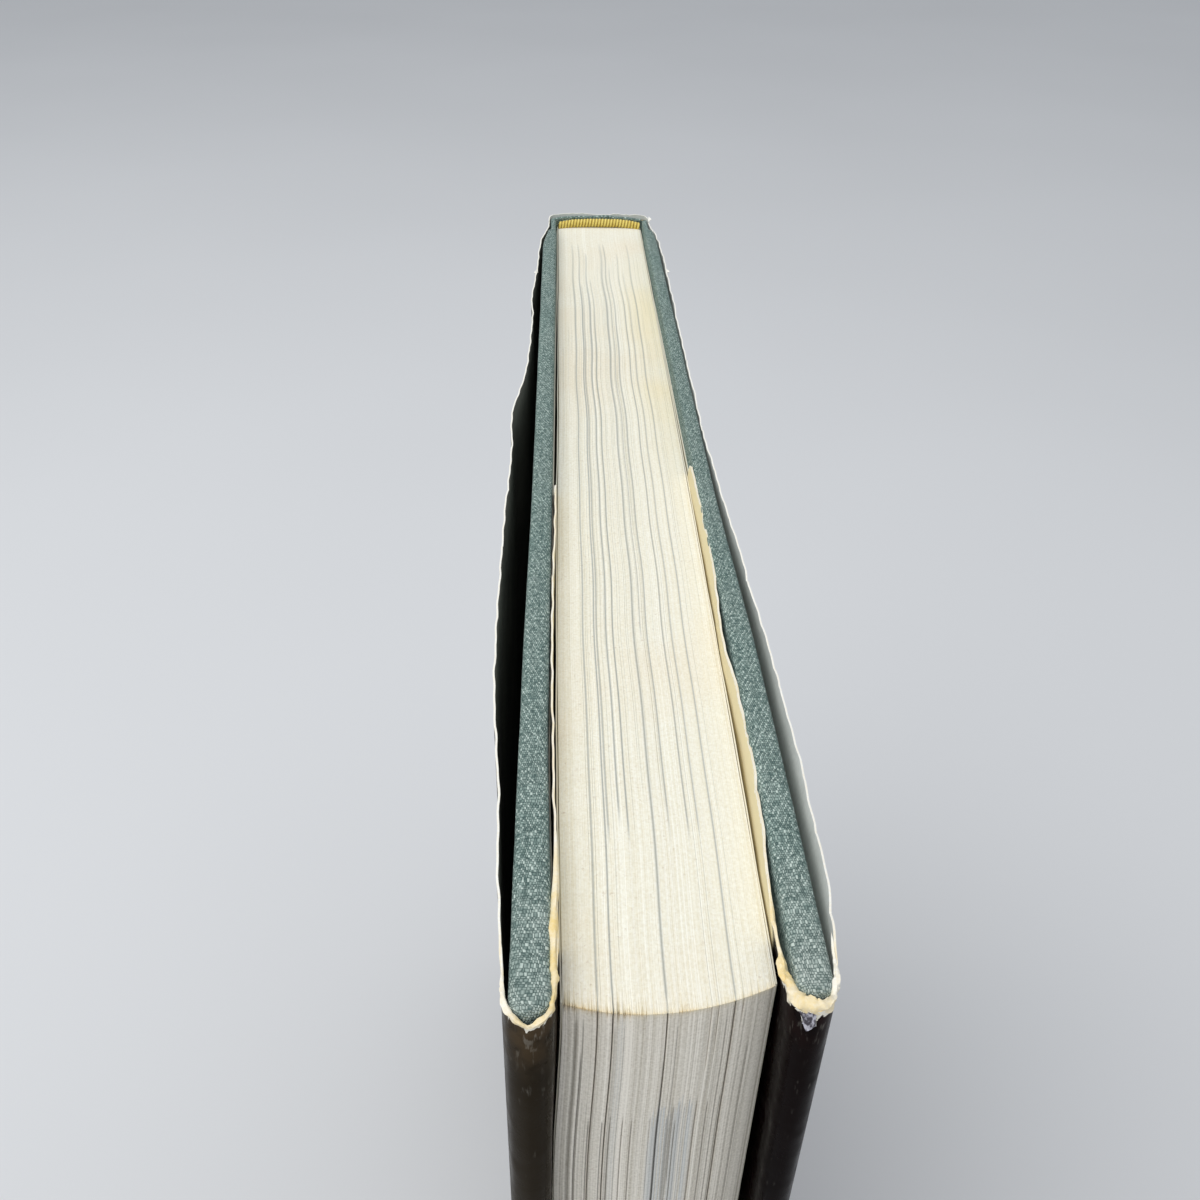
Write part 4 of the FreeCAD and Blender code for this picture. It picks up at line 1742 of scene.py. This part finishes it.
    def shape_faces(self, points: Array) -> Array:
        """Tapers a board towards its joint and swells it where the cloth is folded at the corners.

        Args:
            points: Places with the board still square to its plane.

        Returns:
            The places moved.
        """
        side = self.plane.side.value
        out, along = side * points[:, 0], -points[:, 1]
        below = self.plane.places.top - points[:, 2]
        share = np.clip((out - self.inner) / (self.outer - self.inner), 0, 1)
        share = share * (along > self.start - 0.01 * MM)
        thin = self.taper * (1 - smooth_step((along - self.start) / (self.taper_end - self.start)))
        slim = self.slim * smooth_step((along - self.start) / self.slim_run)
        thin = thin + slim * smooth_step((self.slim_stop - along) / self.slim_fade)
        fat = self.swell * smooth_step((along - self.swell_start) / (self.end - self.swell_start))
        moved = points.copy()
        fat = fat * near_head(below)
        moved[:, 0] -= side * (thin * share + fat * (1 - share) * (along > self.start))
        low = smooth_step((self.droop_reach - along) / self.droop_fade)
        low = low * smooth_step(1 - below / self.droop_depth)
        moved[:, 2] -= self.droop * low
        return moved

    def lay_uv(self, piece: Piece) -> None:
        """Unrolls the cloth from each face straight on, in step across the long edges.

        Args:
            piece: The cloth.
        """
        side, top = self.plane.side.value, self.plane.places.top
        mesh = piece.data
        layer = unrolled_layer(piece)
        points = read_points(piece)
        flat = np.empty((len(mesh.loops), 2), dtype=np.float32)
        for face in mesh.polygons:
            normal = [abs(part) for part in face.normal]
            for corner in face.loop_indices:
                x, y, z = points[mesh.loops[corner].vertex_index]
                out = side * x
                if normal[2] >= max(normal[0], normal[1]):
                    flat[corner] = (y, out)
                elif normal[0] >= normal[1]:
                    outwards = face.normal.x * side > 0
                    flat[corner] = (y, self.outer + (top - z) if outwards else self.inner - (top - z))
                else:
                    flat[corner] = (-self.end - (top - z), out)
        layer.data.foreach_set("uv", flat.ravel())

    def build_board(self, finishes: Finishes) -> Piece:
        """Makes the pasted board inside the cloth.

        Args:
            finishes: The book's finishes.

        Returns:
            The finished piece.
        """
        side, places = self.plane.side, self.plane.places
        edge = sorted((side.value * (self.inner + self.cloth), side.value * (self.outer - self.cloth)))
        piece = add_block(
            f"{side.word}_board_core",
            (edge[0], -(self.end - self.cloth), places.floor + self.cloth),
            (edge[1], -(self.start + self.cloth), places.top - self.cloth),
        )
        apply_modifier(piece, "BEVEL", width=0.95 * MM, segments=4)
        slice_across(piece, 1, [-place * MM for place in (10.5, 12.0, 14.0, 17.0, 110.0, 150.0, 175.0)])
        write_points(piece, self.plane.to_row(self.shape_faces(read_points(piece))))
        soften(piece, 35)
        dress(piece, finishes.board)
        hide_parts(f"{side.word}_board")
        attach(piece, self.plane.body)
        return piece

    def build_pastedown(self, finishes: Finishes) -> Piece:
        """Makes the pasted half of the endpaper, carried over the joint to the leaves.

        Args:
            finishes: The book's finishes.

        Returns:
            The finished piece.
        """
        side, places = self.plane.side, self.plane.places
        plan = [(8.9, 1.0), (8.9, 2.5), (8.92, 4.5), (8.95, 6.5), (8.95, 8.0), (8.89, 9.6), (8.87, 11.5)]
        plan += [(8.87, 60.0), (8.87, 188.5)]
        length = chord_length(plan)
        stations = np.concatenate((np.arange(0, 12, 0.5) * MM, np.linspace(12.5 * MM, length, 40)))
        line = curve_through(plan, stations)
        sheet = Sheet(
            f"{side.word}_paste_sheet",
            line,
            places.tail + 0.05 * MM,
            places.head - 0.05 * MM,
            0.14 * MM,
            self.plane.from_line,
            [finishes.endpaper],
            flip=side is Side.BACK,
            sag=-self.swell * smooth_step((line[:, 1] - self.swell_start) / (self.end - self.swell_start)),
        )
        piece = sheet.build()
        dress(piece, finishes.endpaper)
        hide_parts(f"{side.word}_pastedown")
        self.plane.along_y(3 * MM)
        self.plane.along_y(9.5 * MM)
        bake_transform(piece)
        return piece


# ---------- jacket


@dataclass
class JacketPanel:
    """Jacket over one cover: its panel, the fold at the fore-edge and the flap inside."""

    plane: CoverPlane
    panel: Knots
    flap: Knots
    seed: int
    sag: Knots
    crimp: Knots
    apex: tuple[float, float]
    fold_fray: tuple[float, float]
    rim_profile: tuple[float, ...]
    rim_swell: float
    ragged: float
    thickness: float = 0.2 * MM
    top: float = 251.62 * MM
    foot: float = 0.35 * MM
    nick: float = 0.7 * MM
    curl: float = 0.12 * MM
    flare: float = 0.0
    notch: float = 0.0
    notch_half: float = 1.3 * MM
    corner_round: float = 2.4 * MM
    corner_droop: float = 0.85 * MM
    droop_run: float = 9 * MM

    def plan(self) -> list[tuple[float, float]]:
        """All points of the line, from the spine corner to the end of the flap."""
        return [*self.panel, self.apex, *self.flap]

    def stations(self) -> Array:
        """Distances along the line at which the sheet has columns, closest at the fold.

        Returns:
            Distances in metres, rising.
        """
        plan = self.plan()
        length = chord_length(plan)
        fold = chord_length(plan, len(self.panel))
        spans = [
            np.arange(0, 11 * MM, 0.7 * MM),
            np.arange(11 * MM, fold - 6 * MM, 0.75 * MM),
            np.arange(fold - 6 * MM, fold + 6 * MM, 0.22 * MM),
            np.arange(fold + 6 * MM, length - 3 * MM, 0.9 * MM),
            length - np.array([3.0, 2.4, 1.8, 1.3, 0.9, 0.6, 0.35, 0.15, 0.0]) * MM,
        ]
        return np.unique(np.concatenate(spans))

    def line(self) -> tuple[Array, Array]:
        """The line and, at each point, the distance past the fold."""
        stations = self.stations()
        fold = chord_length(self.plan(), len(self.panel))
        return curve_through(self.plan(), stations), stations - fold

    def head_bulge(self, past: Array) -> Array:
        """How far the flap stands off its board at the head."""
        return along_knots(self.sag, past / MM) * MM

    def head_lean(self, past: Array) -> Array:
        """How far the sheet's upper edge alone leans away from the leaves."""
        return along_knots(self.crimp, past / MM) * MM

    def edge_lean(self, past: Array) -> Array:
        """Lean of the sheet's upper edge: a small curl, a flare before the fold, and the crimp."""
        run = past - past[0]
        lean = Drift(self.seed + 4, self.curl, 4 * MM).at(run) * smooth_step(run / (6 * MM))
        flare = self.flare * smooth_step((run - 135 * MM) / (30 * MM))
        lean = lean + flare * smooth_step((-5 * MM - past) / (10 * MM))
        return lean * np.where(np.abs(past) < 5 * MM, 0.3, 1.0) + self.head_lean(past)

    def fray(self, past: Array) -> Array:
        """Depth to which the print has come off along the upper edge, most round the fold."""
        before, after = self.fold_fray
        knots = ((-12, 0.3), (-5, 0.4), (-2, before), (2, after), (6, 0.5), (12, 0.3))
        return along_knots(knots, past / MM) * MM

    def corner(self, run: Array) -> Array:
        """How far the flap's far corners are rounded off."""
        left = np.minimum(run[-1] - run, self.corner_round)
        return self.corner_round - np.sqrt(self.corner_round**2 - (self.corner_round - left) ** 2)

    def upper_edge(self, past: Array) -> Array:
        """Height of the sheet's torn upper edge, which droops at the spine's corner."""
        run = past - past[0]
        wander = Drift(self.seed, 0.09 * MM, 6 * MM).at(run)
        nicks = Nicks(self.seed + 1, 46, self.nick, 1.3 * MM, float(run[-1])).at(run)
        fine = np.abs(np.random.default_rng(self.seed + 2).normal(0, 0.035 * MM, len(run)))
        droop = self.corner_droop * smooth_step(1 - run / self.droop_run)
        crease = self.notch * np.clip(1 - np.abs(past) / self.notch_half, 0, 1)
        return self.top - np.abs(wander) - nicks - fine - self.corner(run) - droop - crease

    def lower_edge(self, past: Array) -> Array:
        """Height of the lower edge."""
        run = past - past[0]
        return self.foot + np.abs(Drift(self.seed + 3, 0.06 * MM, 7 * MM).at(run)) + self.corner(run)

    def build(self, finishes: Finishes, print_finish: Material, paper: Material) -> Piece:
        """Makes the sheet.

        Args:
            finishes: The book's finishes.
            print_finish: Finish of the printed face.
            paper: Finish of the inner face.

        Returns:
            The finished piece.
        """
        side = self.plane.side
        line, past = self.line()
        sheet = Sheet(
            f"jacket_{side.word}_sheet",
            line,
            self.lower_edge(past),
            self.upper_edge(past),
            self.thickness,
            self.plane.from_line,
            [print_finish, paper, finishes.core],
            flip=side is Side.BACK,
            lean=self.edge_lean(past),
            sag=self.head_bulge(past),
            marks={
                "flap": smooth_step((past - 9 * MM) / (0.4 * MM)),
                "crease": np.exp(-((past / (3.2 * MM)) ** 2)),
                "aged": np.exp(-((past / (7 * MM)) ** 2)) + 0.35 * (past > 7 * MM) + 0.12,
                "fray": self.fray(past),
            },
        )
        piece = sheet.build()
        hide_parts(f"jacket_{side.word}")
        start, stop = self.plane.along_y(0.95 * MM), self.plane.along_y(9.5 * MM)
        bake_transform(piece)
        return piece

    def build_rim(self, finishes: Finishes) -> Piece:
        """Makes the swollen, yellowed paper edge round the fold.

        Args:
            finishes: The book's finishes.

        Returns:
            The finished piece.
        """
        side = self.plane.side
        line, past = self.line()
        high = self.upper_edge(past)
        line[:, 0] += self.head_bulge(past) + self.head_lean(past)
        places = (-9, -5, -2, 0, 2, 7, 12, 22)
        use = (past > places[0] * MM) & (past < places[-1] * MM)
        line, high, past = line[use], high[use], past[use]
        sides = 10
        piece, column, row = add_grid(f"jacket_{side.word}_rim", len(line) - 1, sides)
        swell = np.interp(past / MM, places, self.rim_profile)
        draw = np.random.default_rng(self.seed + 5)
        lumps = draw.normal(0, 0.25, (len(line) + 2, sides))
        rough = 1 + self.ragged * (lumps[:-2] + 1.4 * lumps[1:-1] + lumps[2:]) / 1.7
        radius = self.rim_swell * swell
        tangent = np.gradient(line, axis=0)
        tangent /= np.linalg.norm(tangent, axis=1)[:, None]
        across = np.column_stack((tangent[:, 1], -tangent[:, 0]))
        line -= across * np.maximum(radius - 0.22 * MM, 0.0)[:, None]
        angle = 2 * math.pi * row / sides
        reach = radius[column] * rough[column, row % sides]
        flat = line[column] + across[column] * (reach * np.cos(angle))[:, None]
        up = high[column] - 0.05 * MM + reach * 0.8 * np.sin(angle)
        ends = (column == 0) | (column == len(line) - 1)
        flat = np.where(ends[:, None], line[column], flat)
        up = np.where(ends, high[column] - 0.05 * MM, up)
        write_points(piece, self.plane.from_line(flat, np.minimum(up, self.plane.places.top)))
        aged = along_knots(((-9, 0.15), (-3, 0.35), (0, 0.8), (10, 1.0), (22, 0.4)), past / MM)
        write_marks(piece, aged=aged[column])
        turn_outwards(piece, 0.002 * MM)
        soften(piece, 60)
        dress(piece, finishes.core)
        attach(piece, self.plane.body)
        return piece


@dataclass
class PeeledChip:
    """Loose chip of laminate that has lifted off the jacket's fold."""

    plane: CoverPlane
    left: float = 8.4 * MM
    right: float = 9.8 * MM
    surface: Knots = ((8.4, 190.3), (8.75, 191.15), (9.25, 191.75), (10.0, 192.05))
    top: float = 251.35 * MM
    drop: float = 2.3 * MM
    lift: float = 0.3 * MM
    limit: float = 192.84 * MM

    def build(self, finishes: Finishes) -> Piece:
        """Makes the chip, hanging from the fold with its foot curled away.

        Args:
            finishes: The book's finishes.

        Returns:
            The finished piece.
        """
        wide, tall = 14, 12
        piece, column, row = add_grid("peeled_chip", wide, tall)
        part, down = column / wide, row / tall
        draw = np.random.default_rng(77)
        foot = 0.35 + 0.65 * np.clip(1 - np.abs(np.arange(wide + 1) / wide - 0.62) / 0.5, 0, 1)
        foot = foot * draw.uniform(0.78, 1.0, wide + 1)
        out = self.left + (self.right - self.left) * (part + 0.08 * down * np.sin(9 * part))
        along = along_knots(np.array(self.surface) * MM, out) + 0.06 * MM + self.lift * down**1.6
        up = self.top - self.drop * down * foot[column]
        flat = np.column_stack((out, np.minimum(along, self.limit)))
        write_points(piece, self.plane.from_line(flat, up))
        write_marks(piece, aged=0.1 * down)
        flip_faces(piece)
        for material in (finishes.laminate, finishes.core):
            piece.data.materials.append(material)
        thicken(piece, 0.07 * MM, material_offset=1, material_offset_rim=1)
        soften(piece)
        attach(piece, self.plane.body)
        return piece


@dataclass
class TornFlake:
    """Small white flake of paper that stands out from a torn edge of the jacket."""

    name: str
    foot: tuple[float, float, float]
    tip: tuple[float, float, float]
    body: str
    width: float = 1.5 * MM
    thickness: float = 0.14 * MM

    def build(self, finishes: Finishes) -> Piece:
        """Makes the flake as a small tapered tongue from its foot to its tip.

        Args:
            finishes: The book's finishes.

        Returns:
            The finished piece.
        """
        piece, column, row = add_grid(self.name, 4, 6)
        part = row / 6
        foot, tip = np.array(self.foot), np.array(self.tip)
        aside = np.array((0.0, 1.0, 0.25)) * self.width * (column / 4 - 0.5)[:, None]
        taper = (1 - part) ** 0.8 * (1 + 0.25 * np.sin(9 * part)) + 0.05
        points = foot + (tip - foot) * part[:, None] + aside * taper[:, None]
        points[:, 2] -= 0.25 * MM * part**2
        write_points(piece, points)
        write_marks(piece, aged=0.05 * part)
        thicken(piece, self.thickness)
        soften(piece)
        dress(piece, finishes.core)
        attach(piece, self.body)
        return piece


@dataclass
class JacketSpine:
    """Jacket round the spine, torn along its upper edge."""

    places: Places
    thickness: float = 0.2 * MM
    top: float = 251.92 * MM
    foot: float = 0.35 * MM

    @staticmethod
    def droop(place: Array) -> Array:
        """How far the torn edge falls towards the corners and in the middle, from -1 to 1 across."""
        return (0.95 * np.abs(place) ** 2.6 + 0.28 * np.exp(-((place / 0.22) ** 2))) * MM

    def plan(self) -> list[tuple[float, float]]:
        """Half of the line in millimetres, as (out, outward from the spine face)."""
        leg = [(10.55, -0.95), (10.54, 0.0), (10.46, 0.7)]
        corner = [(10.15, 1.28), (9.6, 1.6), (8.5, 1.66)]
        return [*leg, *corner, (4.5, 1.68), (0, 1.68)]

    def build(self, finishes: Finishes) -> Piece:
        """Makes the sheet.

        Args:
            finishes: The book's finishes.

        Returns:
            The finished piece.
        """
        plan = mirrored([(-out, back) for out, back in self.plan()])
        length = chord_length(plan)
        run = np.linspace(0, length, 76)
        line = curve_through(plan, run)
        wander = np.abs(Drift(301, 0.1 * MM, 4 * MM).at(run))
        nicks = Nicks(302, 14, 0.45 * MM, 1.1 * MM, length).at(run)
        fray = ((0, 0.9), (0.12, 1.1), (0.2, 0.5), (0.8, 0.5), (0.88, 1.1), (1, 0.9))
        sheet = Sheet(
            "jacket_spine_sheet",
            line,
            self.foot,
            self.top - wander - nicks - self.droop(2 * run / length - 1),
            self.thickness,
            self.places.from_spine,
            [finishes.spine_print, finishes.paper, finishes.core],
            flip=True,
            marks={
                "flap": np.zeros(len(line)),
                "aged": np.full(len(line), 0.1),
                "fray": along_knots(fray, run / length) * MM,
            },
        )
        piece = sheet.build()
        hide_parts("jacket_spine")
        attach(piece, "block")
        return piece


# ---------- studio


@dataclass
class Studio:
    """Pale floor, soft overhead light and the camera."""

    floor_colour: Colour = tint(222, 223, 224)
    sky: Colour = tint(232, 236, 242)
    sky_strength: float = 0.6
    lamp_power: float = 11.7
    lamp_size: float = 1.3
    lamp_place: tuple[float, float, float] = (-0.45, -0.18, 1.3)
    lamp_target: tuple[float, float, float] = (0, 0, 0.25)
    floor_size: float = 14
    floor_cloud: Colour = tint(227, 228, 229)
    sensor: float = 36.0
    focal: float = 34.5
    eye: tuple[float, float, float] = (-8.354 * MM, -149.123 * MM, 329.708 * MM)
    pitch: float = 36.118
    yaw: float = 2.614
    roll: float = 1.413

    def build(self) -> None:
        """Makes the floor, the lights and the camera."""
        self.build_floor()
        self.build_light()
        self.build_camera()

    def build_floor(self) -> None:
        """Makes the plain floor."""
        bpy.ops.mesh.primitive_plane_add(size=self.floor_size, location=(0, 0, -0.2 * MM))
        floor = bpy.context.object
        floor.name = "floor"
        recipe = Recipe("floor_paper", 0.9, specular=0.1)
        cloud = recipe.grain(0.4, 2.0)
        recipe.paint(recipe.mix(recipe.ramp(cloud, 0.2, 0.8), self.floor_colour, self.floor_cloud))
        floor.data.materials.append(recipe.material)

    def build_light(self) -> None:
        """Makes a broad lamp overhead and an even sky."""
        world = bpy.data.worlds.new("sky")
        bpy.context.scene.world = world
        world.use_nodes = True
        sky = world.node_tree.nodes["Background"]
        sky.inputs["Color"].default_value = self.sky
        sky.inputs["Strength"].default_value = self.sky_strength
        bpy.ops.object.light_add(type="AREA", location=self.lamp_place)
        lamp = bpy.context.object
        lamp.name = "overhead_lamp"
        lamp.data.energy = self.lamp_power
        lamp.data.size = self.lamp_size
        ahead = Vector(self.lamp_target) - lamp.location
        lamp.rotation_euler = ahead.to_track_quat("-Z", "Y").to_euler()

    def build_camera(self) -> None:
        """Makes the camera, close above the fore-edge and looking down the head."""
        pitch, yaw, roll = (math.radians(angle) for angle in (self.pitch, self.yaw, self.roll))
        level_part = math.cos(pitch)
        ahead = Vector((math.sin(yaw) * level_part, math.cos(yaw) * level_part, -math.sin(pitch)))
        level = Vector((math.cos(yaw), -math.sin(yaw), 0))
        upright = level.cross(ahead)
        right = math.cos(roll) * level + math.sin(roll) * upright
        above = -math.sin(roll) * level + math.cos(roll) * upright
        bpy.ops.object.camera_add(location=self.eye)
        camera = bpy.context.object
        camera.name = "camera"
        turn = Matrix((right, above, -ahead)).transposed().to_4x4()
        camera.matrix_world = Matrix.Translation(self.eye) @ turn
        camera.data.sensor_width = self.sensor
        camera.data.lens = self.focal
        camera.data.clip_start = 5 * MM
        camera.data.clip_end = 40.0
        bpy.context.scene.camera = camera


# ---------- build


def dress_lining(finishes: Finishes) -> Piece:
    """Gives the spine's lining, which is shown as packed, its finish."""
    piece = frame["nodes"]["spine_lining"]
    dress(piece, finishes.lining)
    return piece


def front_jacket(plane: CoverPlane) -> JacketPanel:
    """Jacket over the front cover, which stands well off the board before the fold.

    Args:
        plane: Plane of the cover.

    Returns:
        The panel, to be built.
    """
    return JacketPanel(
        plane,
        panel=(
            (10.55, 0.95), (10.62, 4.0), (10.8, 7.0), (11.15, 9.5), (11.7, 13.0), (12.1, 17.5), (12.4, 26.0),
            (12.85, 37.0), (13.2, 45.0), (12.85, 53.0), (13.15, 68.0), (13.4, 76.0), (14.1, 83.0),
            (14.9, 88.0), (14.8, 102.0), (14.9, 117.0), (15.02, 132.0), (14.6, 154.0), (13.6, 168.0),
            (13.0, 179.0), (12.6, 184.0), (12.35, 187.4), (12.15, 190.2), (11.68, 191.55), (10.9, 192.26),
        ),
        flap=(
            (9.3, 192.36), (8.75, 191.65), (8.64, 190.2), (8.66, 186.0), (8.68, 160.0), (8.68, 148.0),
            (8.66, 134.0), (8.62, 120.0), (8.58, 109.9),
        ),
        seed=200,
        sag=((0.7, 0), (2.5, -0.4), (5, -0.72), (9, -0.78), (15, -0.68), (24, -0.42), (36, -0.1), (46, 0)),
        crimp=((1.5, 0), (5, 0.16), (10, 0.16), (18, 0)),
        apex=(10.15, 192.55),
        notch=0.55 * MM,
        fold_fray=(0.45, 0.5),
        rim_profile=(0.35, 0.6, 1.1, 0.9, 1.2, 1.9, 1.6, 0.3),
        rim_swell=0.21 * MM,
        ragged=0.8,
    )


def back_jacket(plane: CoverPlane) -> JacketPanel:
    """Jacket over the back cover, whose upper edge is crimped along the flap.

    Args:
        plane: Plane of the cover.

    Returns:
        The panel, to be built.
    """
    return JacketPanel(
        plane,
        panel=(
            (10.55, 0.95), (10.62, 4.0), (10.8, 7.0), (11.1, 9.5), (11.4, 13.0), (11.58, 18.0), (11.56, 60.0),
            (11.6, 94.0), (11.82, 107.0), (12.12, 117.0), (12.55, 126.0), (12.85, 136.0), (13.02, 144.0),
            (13.05, 154.0), (12.95, 168.0), (12.75, 178.0), (12.5, 184.0), (12.2, 187.2), (11.9, 189.4),
            (11.35, 190.95), (10.7, 191.65),
        ),
        flap=(
            (9.25, 191.6), (8.72, 190.9), (8.64, 189.4), (8.66, 186.0), (8.68, 160.0), (8.66, 134.0),
            (8.66, 104.2),
        ),
        seed=260,
        sag=(
            (0.7, 0), (2.5, -0.3), (4.5, -0.45), (9, -0.42), (16, -0.5), (24, -0.3), (34, -0.08), (46, -0.2),
            (56, 0),
        ),
        crimp=(
            (0.7, 0), (2.5, -0.3), (5, -0.45), (9, -0.4), (14, -0.12), (20, 0.3), (30, 0.42), (40, 0.3),
            (48, -0.22), (53, -0.22), (60, 0.3), (68, 0.5), (78, 0.42), (88, 0.05),
        ),
        apex=(10.0, 191.87),
        fold_fray=(0.8, 1.0),
        rim_profile=(0.3, 1.0, 2.2, 3.6, 3.6, 1.2, 0.6, 0.3),
        rim_swell=0.16 * MM,
        ragged=0.9,
        flare=0.5 * MM,
    )


def build_jacket(front: CoverPlane, back: CoverPlane, finishes: Finishes) -> list[Piece]:
    """Makes the jacket.

    Args:
        front: Plane of the front cover.
        back: Plane of the back cover.
        finishes: The book's finishes.

    Returns:
        The jacket's pieces.
    """
    front_panel, back_panel = front_jacket(front), back_jacket(back)
    return [
        # The front panel's inner face takes the darkened paper, which is painted shade.
        front_panel.build(finishes, finishes.front_print, finishes.dim_paper),
        front_panel.build_rim(finishes),
        back_panel.build(finishes, finishes.back_print, finishes.paper),
        back_panel.build_rim(finishes),
        PeeledChip(back).build(finishes),
        *build_flakes(front, back, finishes),
        JacketSpine(front.places).build(finishes),
    ]


def build_flakes(front: CoverPlane, back: CoverPlane, finishes: Finishes) -> list[Piece]:
    """Makes the loose flakes at the jacket's torn upper edge.

    Args:
        front: Plane of the front cover.
        back: Plane of the back cover.
        finishes: The book's finishes.

    Returns:
        The flakes.
    """
    heights = np.array((251.25, 251.6)) * MM
    flakes = []
    for name, plane, out, along, reach in (
        ("back_flake", back, 11.62, 31.0, 0.7),
        ("back_corner_flake", back, 10.6, 0.2, 0.5),
        ("front_flake", front, 12.55, 32.0, 0.5),
    ):
        line = np.array(((out, along), (out + reach, along + 0.5))) * MM
        foot, tip = plane.from_line(line, heights)
        body = "block" if along < 1 else plane.body
        flakes.append(TornFlake(name, tuple(foot), tuple(tip), body).build(finishes))
    return flakes


def main() -> None:
    """Builds the book and its surroundings."""
    logging.basicConfig(level=logging.INFO, format="%(name)s: %(message)s")
    bpy.context.scene.view_settings.view_transform = "Standard"
    places = Places.from_frame()
    finishes = Finishes.build()
    front = CoverPlane(Side.FRONT, 0.35, places)
    back = CoverPlane(Side.BACK, 0.4, places)
    block = TextBlock(places)
    pieces = [
        block.build(finishes),
        EndBand("head_bead", "headband", places.head + 1.35 * MM, places).build(finishes),
        EndBand("tail_bead", "tailband", places.tail - 0.8 * MM, places).build(finishes),
        Flyleaf(front, block).build(finishes),
        Flyleaf(back, block).build(finishes),
        Spine(places).build(finishes),
        Spine(places).build_strip(finishes),
    ]
    for cover in (
        Cover(front, slim=0.22 * MM, swell=0.72 * MM, end=192.0 * MM),
        Cover(back, slim=0.62 * MM, swell=0.42 * MM, end=190.7 * MM),
    ):
        pieces += [cover.build_board(finishes), cover.build_wrap(finishes), cover.build_pastedown(finishes)]
    pieces += [*build_jacket(front, back, finishes), dress_lining(finishes)]
    for piece in pieces:
        log.info("%s: %d faces", piece.name, len(piece.data.polygons))
    Studio().build()


if __name__ == "__main__":
    main()
